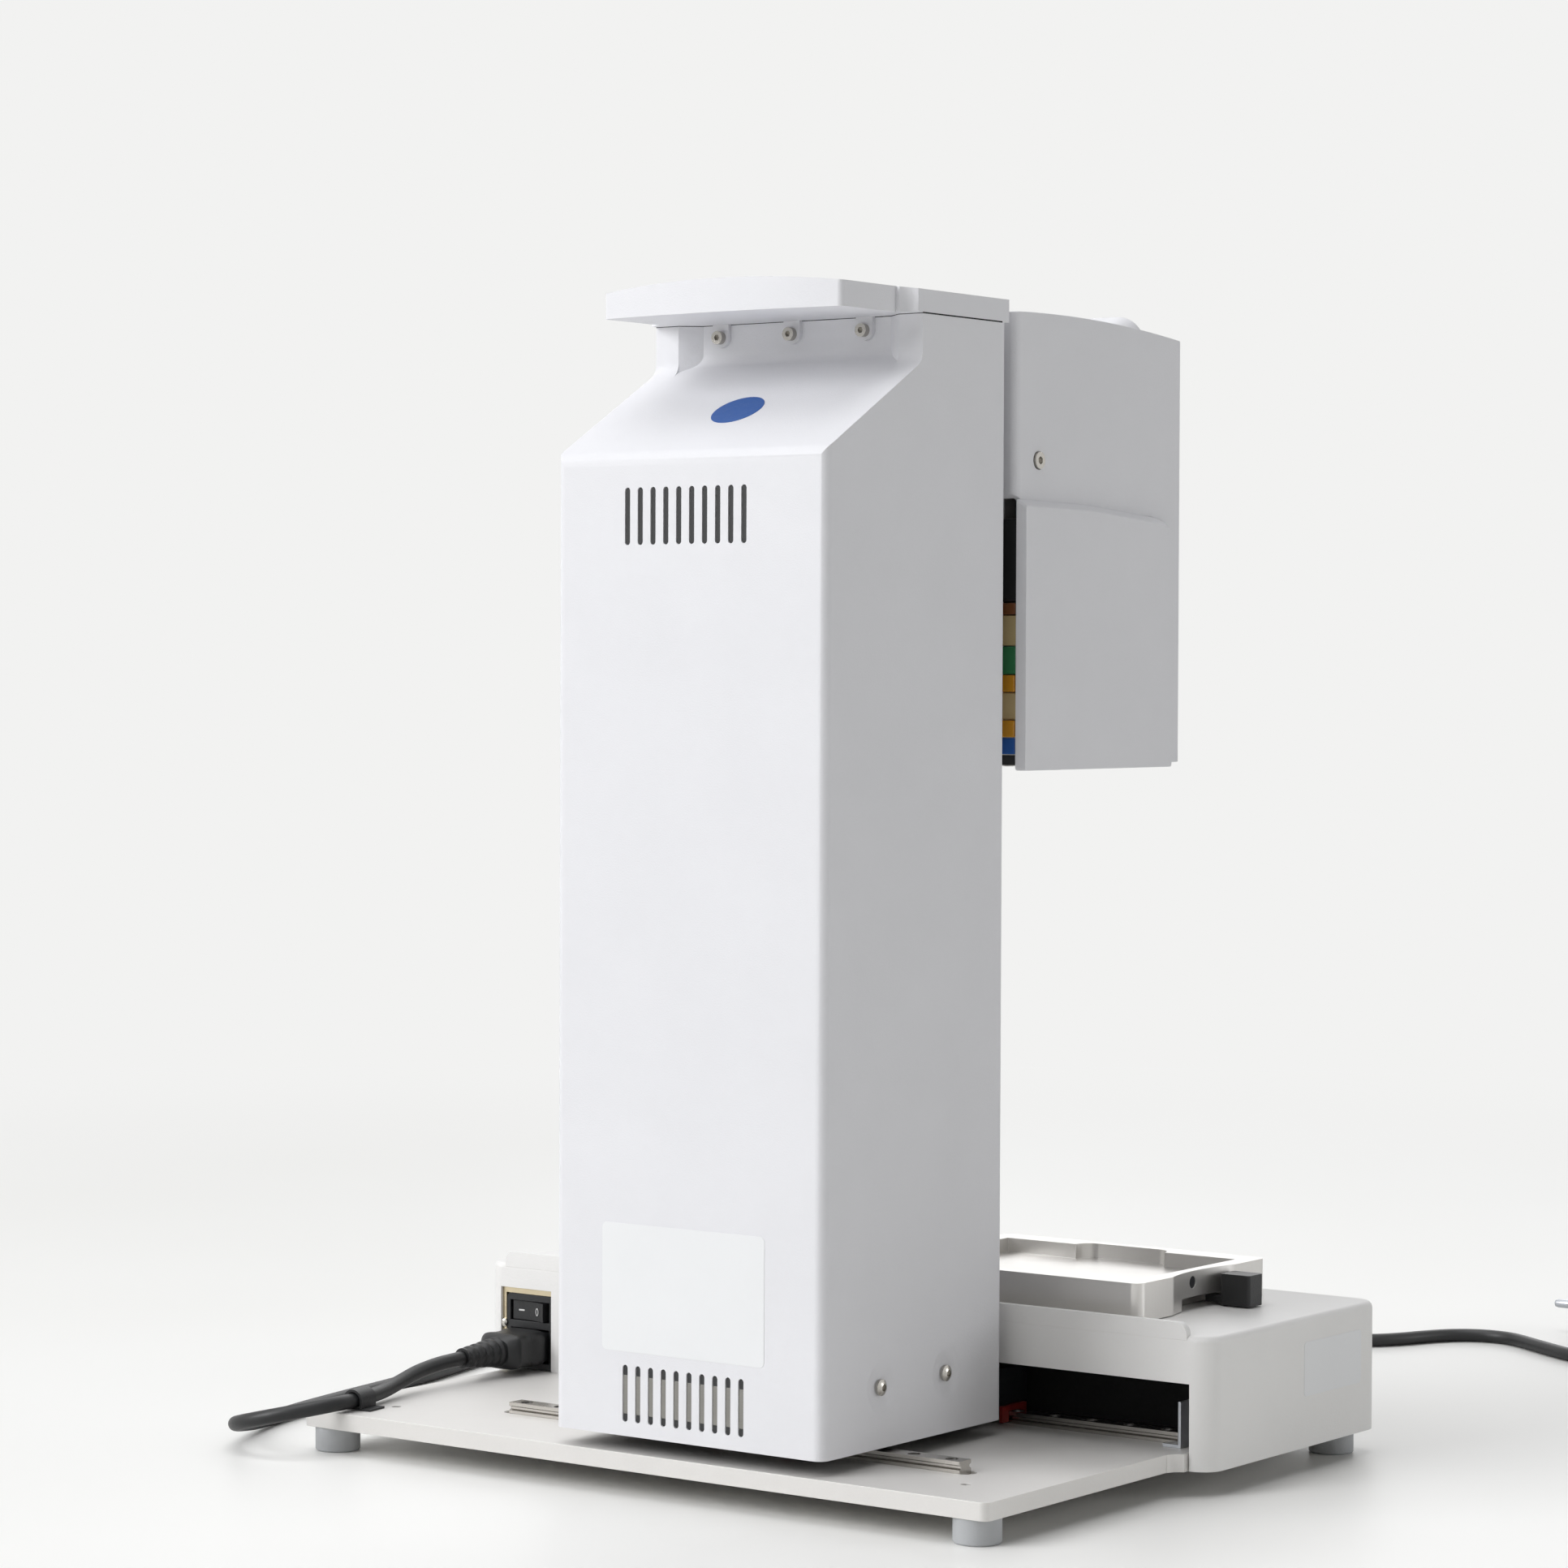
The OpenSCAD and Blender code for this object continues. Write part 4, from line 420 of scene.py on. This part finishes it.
leadRun = smoothRun(leadRoute(mainsLead), mainsLead["step"])
lead = sweptTube("mainsLead", leadRun, mainsLead["radius"], mainsLead["sides"])
print("lead:", round(float(np.linalg.norm(np.diff(leadRun, axis=0), axis=1).sum()), 1), "mm")
connectorGrip, leadRelief = makeConnector(connector)
plugBody, plugPins = makePlug(plug)
for piece in (lead, connectorGrip, leadRelief, plugBody, plugPins):
    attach(piece, "base")
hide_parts("mains_cord", "cord_coil")
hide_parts("cord_plugs")
print("lead, connector and plug made")

cloudSize = 45


# Moulded or coated: two near tints in a broad cloud, small grains for the bump, and a roughness along the
# grains
def mouldedFinish(s):
    material, tree, coords = newMaterial(s["name"])
    cloud = noise(tree, coords, 1000 / cloudSize, 3.0)
    grain = noise(tree, coords, 1000 / s["grain"], 2.0)
    surface = addNode(tree, "ShaderNodeBsdfPrincipled", None, {
        "Base Color": tintBetween(tree, cloud, s["tint"], s["shade"]),
        "Roughness": spread(tree, grain, s["rough"] - 0.07, s["rough"] + 0.07),
        "Normal": bumped(tree, grain, s["bump"], 0.0004),
        "IOR": 1.5, "Metallic": 0.0, "Coat Weight": s.get("coat", 0.0), "Coat Roughness": 0.08})
    addNode(tree, "ShaderNodeOutputMaterial", None, {"Surface": surface.outputs[0]})
    return material


# Cut or ground metal: noise drawn out along the tool's path gives the streaks of tint, roughness and bump,
# and a broad cloud has four tenths of the tint
def metalFinish(s):
    material, tree, coords = newMaterial(s["name"])
    drawn = addNode(tree, "ShaderNodeMapping", None,
                    {"Vector": coords, "Scale": [1000 / v for v in s["streak"]]})
    streak = noise(tree, drawn.outputs[0], 1.0, 4.0)
    cloud = noise(tree, coords, 28.0, 3.0)
    calmed = addNode(tree, "ShaderNodeMath", {"operation": "MULTIPLY_ADD"}, {0: streak, 1: 0.55, 2: 0.22})
    both = addNode(tree, "ShaderNodeMix", {"data_type": "FLOAT"}, {0: 0.4, 2: calmed.outputs[0], 3: cloud})
    mixed = both.outputs[0]
    surface = addNode(tree, "ShaderNodeBsdfPrincipled", None, {
        "Base Color": tintBetween(tree, mixed, s["tint"], s["shade"]),
        "Roughness": spread(tree, mixed, s["rough"] - 0.08, s["rough"] + 0.1),
        "Normal": bumped(tree, streak, s["bump"], 0.0002),
        "Metallic": s.get("metallic", 1.0)})
    addNode(tree, "ShaderNodeOutputMaterial", None, {"Surface": surface.outputs[0]})
    return material


# A printed board: fields of solder mask in two near tints, with lighter tracks between them that stand a
# little proud
def boardFinish(s):
    material, tree, coords = newMaterial(s["name"])
    tracks = addNode(tree, "ShaderNodeTexBrick", None, {
        "Vector": coords, "Scale": 1000 / s["pitch"], "Color1": linearColour(s["tint"]),
        "Color2": linearColour(s["shade"]), "Mortar": linearColour(s["track"]), "Mortar Size": 0.06})
    surface = addNode(tree, "ShaderNodeBsdfPrincipled", None, {
        "Base Color": tracks.outputs["Color"], "Roughness": 0.32,
        "Normal": bumped(tree, tracks.outputs["Fac"], 0.3, 0.0003)})
    addNode(tree, "ShaderNodeOutputMaterial", None, {"Surface": surface.outputs[0]})
    return material


# By the record's slot. Grain and streak sizes are millimetres; the finest real ones are drawn at about
# 0.6, to show
finishes = {
    # spark-eroded mould, so matt with a fine even grain
    "white_shell": (mouldedFinish, {
        "name": "sparkTexturedAbs", "tint": "#E6E6E9", "shade": "#E0E0E3", "grain": 0.7,
        "rough": 0.58, "bump": 0.22}),
    # stoved powder coat over sheet: a soft orange-peel skin
    "white_housing": (mouldedFinish, {
        "name": "powderCoatedSheet", "tint": "#EEEDEB", "shade": "#E8E7E5", "grain": 1.1,
        "rough": 0.48, "bump": 0.20}),
    # glass-bead blasted, then clear anodised: satin, no direction
    "anodised_plate": (metalFinish, {
        "name": "clearAnodisedAluminium", "tint": "#DEDCD9", "shade": "#D2D0CD", "streak": (0.9, 0.9, 0.9),
        "rough": 0.50, "bump": 0.12, "metallic": 0.35}),
    # end-milled, with fine tool marks across
    "machined_aluminium": (metalFinish, {
        "name": "milledAluminium", "tint": "#DCDAD7", "shade": "#CBC9C6", "streak": (14, 0.7, 14),
        "rough": 0.34, "bump": 0.15, "metallic": 0.95}),
    # ground along its length
    "rail_steel": (metalFinish, {
        "name": "groundSteel", "tint": "#B7B4AF", "shade": "#918E89", "streak": (30, 0.6, 0.6),
        "rough": 0.24, "bump": 0.10}),
    # black oxide, a little oily
    "dark_steel": (metalFinish, {
        "name": "blackOxideSteel", "tint": "#4A4B4E", "shade": "#36373A", "streak": (1.0, 1.0, 1.0),
        "rough": 0.36, "bump": 0.15}),
    # zinc plate, bright and bluish
    "zinc_steel": (metalFinish, {
        "name": "zincPlatedSteel", "tint": "#BFC2C6", "shade": "#A9ADB3", "streak": (3.0, 3.0, 0.8),
        "rough": 0.30, "bump": 0.12}),
    # zinc plate passivated yellow, a straw sheen
    "yellow_steel": (metalFinish, {
        "name": "yellowPassivatedSteel", "tint": "#CFC3A6", "shade": "#BDB095", "streak": (4.0, 4.0, 1.0),
        "rough": 0.34, "bump": 0.10}),
    # turned, warm
    "brass": (metalFinish, {
        "name": "turnedBrass", "tint": "#C9A761", "shade": "#B08F4C", "streak": (6, 6, 0.7),
        "rough": 0.28, "bump": 0.10}),
    # vulcanised feet, dull
    "grey_rubber": (mouldedFinish, {
        "name": "greyRubber", "tint": "#B9BBBD", "shade": "#AEB0B2", "grain": 0.9,
        "rough": 0.82, "bump": 0.25}),
    # fine moulded nylon, half matt
    "black_plastic": (mouldedFinish, {
        "name": "mouldedBlackNylon", "tint": "#191A1C", "shade": "#131415", "grain": 0.8,
        "rough": 0.46, "bump": 0.22}),
    # sand-cast and enamelled, lumpy
    "black_casting": (mouldedFinish, {
        "name": "enamelledCasting", "tint": "#232427", "shade": "#17181A", "grain": 1.3,
        "rough": 0.40, "bump": 0.40}),
    # glass-fibre board under green solder mask
    "board_green": (boardFinish, {
        "name": "glassEpoxyBoard", "tint": "#1F5A36", "shade": "#1A4D2E", "track": "#2F7A4C", "pitch": 9.0}),
    # nitrile rubber, a dull red
    "red_seal": (mouldedFinish, {
        "name": "nitrileSeal", "tint": "#A32A24", "shade": "#86201B", "grain": 0.7,
        "rough": 0.55, "bump": 0.18}),
    # cover glass over an unlit display
    "display_glass": (mouldedFinish, {
        "name": "darkCoverGlass", "tint": "#11161A", "shade": "#0B0F12", "grain": 4.0,
        "rough": 0.12, "bump": 0.01,
        "coat": 0.6}),
    # cast acrylic, polished
    "console_black": (mouldedFinish, {
        "name": "glossBlackAcrylic", "tint": "#1B1C1F", "shade": "#141517", "grain": 5.0,
        "rough": 0.16, "bump": 0.02,
        "coat": 0.5}),
    # silicone keys, soft and matt, in three colours
    "grey_key": (mouldedFinish, {
        "name": "greySiliconeKey", "tint": "#B1B4B8", "shade": "#A5A8AC", "grain": 0.7,
        "rough": 0.6, "bump": 0.12}),
    "blue_key": (mouldedFinish, {
        "name": "blueSiliconeKey", "tint": "#2460A8", "shade": "#1D5294", "grain": 0.7,
        "rough": 0.55, "bump": 0.12}),
    "white_key": (mouldedFinish, {
        "name": "whiteSiliconeKey", "tint": "#E8E8E6", "shade": "#DEDEDB", "grain": 0.7,
        "rough": 0.58, "bump": 0.12}),
    # extruded PVC sheath, half matt
    "cord_black": (mouldedFinish, {
        "name": "extrudedPvcSheath", "tint": "#121315", "shade": "#0D0E0F", "grain": 0.8,
        "rough": 0.44, "bump": 0.15}),
}
materials = {slot: make(s) for slot, (make, s) in finishes.items()}
slotOf = {part["node"]: part["material_slot"] for part in frame["record"]["subparts"]}
bodyOf = {node: body for body, nodes in frame["record"]["behaviour"]["bodies"].items() for node in nodes}


# Gives a piece the one material of the record's slot
def dress(piece, slot):
    piece.data.materials.clear()
    piece.data.materials.append(materials[slot])


for name, node in frame["nodes"].items():
    node.data.materials.clear()
    node.data.materials.append(materials[slotOf[name]])
for piece in (lead, connectorGrip, leadRelief, plugBody):
    dress(piece, "cord_black")
dress(plugPins, "zinc_steel")
print("finishes made:", len(materials))

# The dishes round the tower's screws: height, hole and rim radius, depth, and how much wider and deeper
# they are pressed
dish = {"z": 53.1, "hole": 3.9, "rim": 11.0, "deepest": 1.7, "above": 0.01, "wider": 1.1, "deeper": 1.75}


# Moves the points of one dish, in a face that looks along x to the given side, out from its centre and
# inwards
def pressDish(bm, x, side, y, s):
    for vert in bm.verts:
        depth = (x - vert.co.x * 1000) * side
        dy, dz = vert.co.y * 1000 - y, vert.co.z * 1000 - s["z"]
        if -s["above"] < depth < s["deepest"] and s["hole"] < math.hypot(dy, dz) < s["rim"]:
            pressed = (x - side * depth * s["deeper"], y + dy * s["wider"], s["z"] + dz * s["wider"])
            vert.co = Vector(pressed) * mm


# Degrees: faces this near to flat are merged, and edges sharper than this are rounded
softening = {"flat": 0.6, "sharp": 32, "segments": 3, "flatWeight": 60}


# A copy of a solid: its triangles merged back to flat faces, and its sharp edges rounded to the width
def softenedCopy(node, s):
    bm = bmesh.new()
    bm.from_mesh(frame["nodes"][node].data)
    bmesh.ops.remove_doubles(bm, verts=bm.verts, dist=1e-6)
    bmesh.ops.dissolve_limit(bm, angle_limit=math.radians(softening["flat"]), verts=bm.verts, edges=bm.edges)
    for x, side, y in s.get("dishes", ()):
        pressDish(bm, x, side, y, dish)
    weight = bm.edges.layers.float.new("bevel_weight_edge")
    for edge in bm.edges:
        if len(edge.link_faces) == 2 and edge.calc_face_angle(0) > math.radians(softening["sharp"]):
            edge[weight] = 1.0
    mesh = bpy.data.meshes.new(s["name"])
    bm.to_mesh(mesh)
    bm.free()
    mesh.polygons.foreach_set("use_smooth", [True] * len(mesh.polygons))
    piece = bpy.data.objects.new(s["name"], mesh)
    bpy.context.scene.collection.objects.link(piece)
    bevel = piece.modifiers.new("edges", "BEVEL")
    bevel.width = s["width"] * mm
    bevel.segments = softening["segments"]
    bevel.limit_method = "WEIGHT"
    bevel.use_clamp_overlap = True
    flat = piece.modifiers.new("flatFaces", "WEIGHTED_NORMAL")  # large flat faces keep their own normals
    flat.mode = "FACE_AREA"
    flat.weight = softening["flatWeight"]
    flat.keep_sharp = True
    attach(piece, bodyOf[node])
    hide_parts(node)
    dress(piece, slotOf[node])


softened = {
    "tower_cover": {"name": "towerCoverSkin", "width": 0.5, "dishes": [
        (-106, -1, 80.3), (-106, -1, 130.5), (43, 1, 80.3), (43, 1, 130.5)]},
    "tower_cap": {"name": "towerCapSkin", "width": 0.7},
    "head_cover": {"name": "headCoverSkin", "width": 0.8},
    "side_covers": {"name": "sideCoverSkins", "width": 1.0},
    "front_housing": {"name": "frontHousingSkin", "width": 0.6},
    "base_plate": {"name": "basePlateSkin", "width": 0.5},
    "plate_holder_a": {"name": "shiftingHolderSkin", "width": 0.5},
    "plate_holder_b": {"name": "fixedHolderSkin", "width": 0.5},
    "console_shell": {"name": "consoleSkin", "width": 1.6},
    "selector_knob": {"name": "selectorKnobSkin", "width": 0.5},
    "mains_inlet": {"name": "inletSkin", "width": 0.4},
    "rail_stops": {"name": "railStopSkins", "width": 0.3},
}
for node, s in softened.items():
    softenedCopy(node, s)
print("softened skins:", len(softened))


# A thin plate with rounded corners: the outline's corner arcs carried across the thickness, its upper
# edge drawn in
def roundedPlate(name, centre, across, up, size, radius, thickness):
    across, up = np.asarray(across, float), np.asarray(up, float)
    out = np.cross(across, up)
    angle = np.radians(np.arange(0, 360, 9.0) + 4.5)
    rings = []
    for inset, level in ((0, 0), (0, 1 - min(0.3, 0.3 / thickness)), (min(0.35 * thickness, 0.3), 1.0)):
        r = max(radius - inset, 0.01)
        x = np.sign(np.cos(angle)) * (size[0] / 2 - radius) + r * np.cos(angle)
        y = np.sign(np.sin(angle)) * (size[1] / 2 - radius) + r * np.sin(angle)
        rings.append(np.asarray(centre) + x[:, None] * across + y[:, None] * up + level * thickness * out)
    piece = meshObject(name, np.vstack(rings) * mm, tubeFaces(len(rings), len(angle)))
    outward(piece, 30)
    return piece


extraFinishes = {
    # polyester film: smoother than what it lies on
    "labelFilm": (mouldedFinish, {
        "name": "polyesterLabelFilm", "tint": "#ECEDEE", "shade": "#E7E8E9", "grain": 2.4,
        "rough": 0.34, "bump": 0.05}),
    "blueFilm": (mouldedFinish, {
        "name": "blueLabelFilm", "tint": "#1257A6", "shade": "#0F4F9A", "grain": 2.4,
        "rough": 0.36, "bump": 0.05}),
    # cast resin, amber, with a clear skin
    "amber": (mouldedFinish, {
        "name": "amberCastResin", "tint": "#D79A1E", "shade": "#B97B12", "grain": 2.0,
        "rough": 0.25, "bump": 0.08,
        "coat": 0.3}),
    # phenolic paper and moulded phenolic, dry
    "beige": (mouldedFinish, {
        "name": "phenolicPaper", "tint": "#CDB98C", "shade": "#BCA777", "grain": 1.2,
        "rough": 0.5, "bump": 0.15}),
    "brown": (mouldedFinish, {
        "name": "brownPhenolic", "tint": "#7A4A22", "shade": "#66391A", "grain": 1.2,
        "rough": 0.4, "bump": 0.12}),
    # matt black: painted shade inside the housing's slot and in the seam under the tower's cap
    "paintedShadeBlack": (mouldedFinish, {
        "name": "mattPaintedShadeBlack", "tint": "#0D0D0E", "shade": "#080809", "grain": 1.5,
        "rough": 0.85, "bump": 0.05}),
    # brushed steel, dulled
    "ventSteel": (metalFinish, {
        "name": "brushedShieldSteel", "tint": "#8C8A85", "shade": "#75736E", "streak": (6.0, 6.0, 0.6),
        "rough": 0.45, "bump": 0.1, "metallic": 0.5}),
    # pad-printed ink
    "printWhite": (mouldedFinish, {
        "name": "padPrintWhite", "tint": "#E6E6E4", "shade": "#DEDEDC", "grain": 1.0,
        "rough": 0.5, "bump": 0.05}),
    # passivated stainless steel, pressed heads with a dull face
    "screwSteel": (metalFinish, {
        "name": "stainlessScrewSteel", "tint": "#C6C3BD", "shade": "#A29E97", "streak": (1.2, 1.2, 1.2),
        "rough": 0.24, "bump": 0.2}),
}
materials.update({name: make(s) for name, (make, s) in extraFinishes.items()})


# Dresses a piece in one finish and sets it on its body
def place(piece, finish, slot, body):
    dress(piece, slot)
    piece.data.materials[0] = materials[finish]
    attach(piece, body)


# Bare film labels and a plain disc: middle, the two directions of the face, size and corner radius.
# The slope runs down the tower's slanted face
slope = np.array([0.0, 72.0, -41.6]) / math.hypot(72.0, 41.6)
filmThickness = 0.15
labels = {
    "towerLabel": {
        "at": (-29.7, 175.02, 92.6), "across": (-1, 0, 0), "up": (0, 0, 1), "size": (90, 57), "radius": 2.5,
        "finish": "labelFilm", "body": "tower", "slot": "white_shell"},
    "housingLabel": {
        "at": (-210.02, -83.5, 47.5), "across": (0, -1, 0), "up": (0, 0, 1), "size": (53, 25), "radius": 2.0,
        "finish": "labelFilm", "body": "base", "slot": "white_housing"},
    "blueDisc": {
        "at": (-31.5, 139.2, 481.92), "across": (-1, 0, 0), "up": tuple(-slope), "size": (25, 25),
        "radius": 12.49, "finish": "blueFilm", "body": "tower", "slot": "blue_key"},
}
for name, s in labels.items():
    piece = roundedPlate(name, s["at"], s["across"], s["up"], s["size"], s["radius"], filmThickness)
    place(piece, s["finish"], s["slot"], s["body"])
for name in ("cap_screws", "cover_screws", "head_screws"):
    frame["nodes"][name].data.materials[0] = materials["screwSteel"]
print("labels made:", len(labels))

# Strips in the cover's upright slots: size, radius and depth of the mesh, then of the shield, and how far
# out it stands
vents = {"first": -62.1, "pitch": 7.15, "count": 10, "y": 172.1, "rows": (45.5, 434.3), "shieldAt": 45.0,
         "mesh": ((2.7, 25.2), 1.34, 2.5), "shield": ((2.6, 17.2), 0.2, 0.45), "proud": 2.2}


# Black mesh strips in both rows of slots, with a steel shield's strips in the middle of the lower ones
def makeVentStrips(s):
    black, steel = [], []
    for k in range(s["count"]):
        x = s["first"] + k * s["pitch"]
        for z in s["rows"]:
            black.append(roundedPlate("strip", (x, s["y"], z), (-1, 0, 0), (0, 0, 1), *s["mesh"]))
        middle = (x, s["y"] + s["proud"], s["shieldAt"])
        steel.append(roundedPlate("shield", middle, (-1, 0, 0), (0, 0, 1), *s["shield"]))
    place(joined("ventMesh", black), "black_plastic", "black_plastic", "tower")
    place(joined("ventShield", steel), "ventSteel", "zinc_steel", "tower")


makeVentStrips(vents)

# A matt black sheet inside the housing, behind its slot, as painted shade for the dark inside of the slot:
# middle, size, corner radius, thickness
slotShadeSheet = {"at": (-24.5, -25.5, 44.0), "size": (349, 48), "radius": 2.0, "thickness": 1.0}
place(roundedPlate("slotPaintedShade", slotShadeSheet["at"], (-1, 0, 0), (0, 0, 1), slotShadeSheet["size"], slotShadeSheet["radius"],
                   slotShadeSheet["thickness"]), "paintedShadeBlack", "black_plastic", "base")


# An outline of two coordinates carried along the third, y or z, between two levels, with flat ends
def prism(name, s):
    n = len(s["outline"])
    points = [(a, t, b) if s["along"] == "y" else (a, b, t) for t in s["levels"] for a, b in s["outline"]]
    sides = [(k, (k + 1) % n, n + (k + 1) % n, n + k) for k in range(n)]
    ends = [tuple(range(n))[::-1], tuple(range(n, 2 * n))]
    piece = meshObject(name, np.array(points) * mm, sides + ends, False)
    outward(piece)
    return piece


# The inlet's sheet where it shows in the housing's opening: an L around the module
inletSheet = {"along": "y", "levels": (23.2, 24.4), "outline": [
    (201.0, 19.7), (201.0, 62.4), (168.2, 62.4), (168.2, 56.8), (197.9, 56.8), (197.9, 19.7)]}
place(prism("inletSheet", inletSheet), "yellow_steel", "yellow_steel", "base")

# The head of the sheet's fixing screw: height and radius of each ring
sheetScrew = {"at": (199.4, 24.4, 41.5), "head": [(0, 2.3), (0.5, 2.25), (1.0, 1.8), (1.3, 1.0)]}
headRings = [(t, r, r, 2) for t, r in sheetScrew["head"]]
place(loftAlong("inletSheetScrew", sheetScrew["at"], (0, 1, 0), headRings, 24),
      "screwSteel", "zinc_steel", "base")

# The housing's rounded corner carried on past the opening
housingCorner = {"along": "z", "levels": (19.8, 62.2), "outline": [
    (200.2, 22.1), (205.3, 22.1), (205.3, 24.0), (204.1, 24.73), (202.8, 25.3), (201.5, 25.69),
    (200.2, 25.91)]}
place(prism("housingCorner", housingCorner), "white_housing", "white_housing", "base")

# A black strip in the joint under the tower's cap: painted shade for the dark line of the seam
capSeamShade = {"along": "z", "levels": (523.8, 524.45), "outline": [
    (-106.05, 40), (-106.05, 103.05), (-93.0, 103.05), (-84.0, 96.05), (21.0, 96.05), (30.0, 103.05),
    (43.05, 103.05), (43.05, 40), (41.5, 40), (41.5, 101.5), (30.5, 101.5), (21.5, 94.5),
    (-84.5, 94.5), (-93.5, 101.5), (-104.5, 101.5), (-104.5, 40)]}
place(prism("capSeamPaintedShade", capSeamShade), "paintedShadeBlack", "black_plastic", "tower")

# Parts on the back of the head's frame, stacked upwards: lower and upper height, depth behind the frame,
# finish, slot
backParts = {"x": (-105.2, -88.0), "y": 25.02, "order": 8, "edge": (0.4, 0.3), "parts": [
    (323.8, 328.4, 1.6, "black_plastic", "black_plastic"),
    (328.8, 336.2, 2.4, "blueFilm", "blue_key"),
    (336.6, 344.2, 2.6, "amber", "yellow_steel"),
    (344.6, 356.8, 1.2, "beige", "yellow_steel"),
    (357.2, 364.8, 2.6, "amber", "yellow_steel"),
    (365.2, 377.8, 2.0, "board_green", "board_green"),
    (378.2, 392.0, 1.2, "beige", "yellow_steel"),
    (392.4, 397.6, 2.4, "brown", "yellow_steel"),
    (398.2, 436.0, 1.0, "black_plastic", "black_plastic")]}


# Each part is a rounded block, a superellipse of high order across its width and depth, with its two ends
# drawn in
def makeBackParts(s):
    x0, x1 = s["x"]
    half = (x1 - x0) / 2
    long, short = s["edge"]
    for k, (low, high, deep, finish, slot) in enumerate(s["parts"]):
        whole, less = (half, deep / 2, s["order"]), (half - long, deep / 2 - short, s["order"])
        stations = [(0, *less), (long, *whole), (high - low - long, *whole), (high - low, *less)]
        piece = loftAlong("backPart%d" % k, ((x0 + x1) / 2, s["y"] + deep / 2, low), (0, 0, 1), stations, 40)
        place(piece, finish, slot, "head")


makeBackParts(backParts)

# The axis and tilt of the rocker, the lean of its two faces from it, and each mark's place across and out
# of the
# axis with its size: the bar's across and up, the ring's half height and half width inside its stroke
rocker = {"axis": (183.0, 18.2, 48.3), "tilt": -8.0, "lean": 12.6, "bar": (5.6, 5.45, 3.4, 0.8),
          "ring": (-5.6, 5.45, 1.5, 0.9), "stroke": 0.42, "thickness": 0.12, "sides": 40}


# The rocker's marks: a bar and a flat ring, laid on its two faces and turned with its tilt
def makeRockerMarks(s):
    turn, lean = math.radians(s["tilt"]), math.radians(s["lean"])

    # a point of the untilted rocker, turned about its axis
    def onFace(x, y):
        return (s["axis"][0] + x * math.cos(turn) - y * math.sin(turn),
                s["axis"][1] + x * math.sin(turn) + y * math.cos(turn), s["axis"][2])

    x, y, wide, tall = s["bar"]
    a = turn + lean
    across = (-math.cos(a), -math.sin(a), 0)
    bar = roundedPlate("rockerBar", onFace(x, y), across, (0, 0, 1), (wide, tall), 0.3, s["thickness"])
    x, y, halfTall, halfWide = s["ring"]
    a = turn - lean
    n = s["sides"]
    angle = np.linspace(0, 2 * np.pi, n, endpoint=False)
    across = np.array([math.cos(a), math.sin(a), 0])
    out = np.array([-math.sin(a), math.cos(a), 0])
    profile = ((0, 0), (0, s["thickness"]), (s["stroke"], s["thickness"]), (s["stroke"], 0))
    rings = [np.asarray(onFace(x, y)) + (halfWide + d) * np.cos(angle)[:, None] * across
             + (halfTall + d) * np.sin(angle)[:, None] * np.array([0, 0, 1.0]) + h * out for d, h in profile]
    back = [(3 * n + k, k, (k + 1) % n, 3 * n + (k + 1) % n) for k in range(n)]
    ring = meshObject("rockerRing", np.vstack(rings) * mm, list(gridFaces(4, n, True)) + back, False)
    outward(ring)
    for piece in (bar, ring):
        place(piece, "printWhite", "white_key", "mains_rocker")


makeRockerMarks(rocker)
print("small parts made")

bpy.context.view_layer.update()
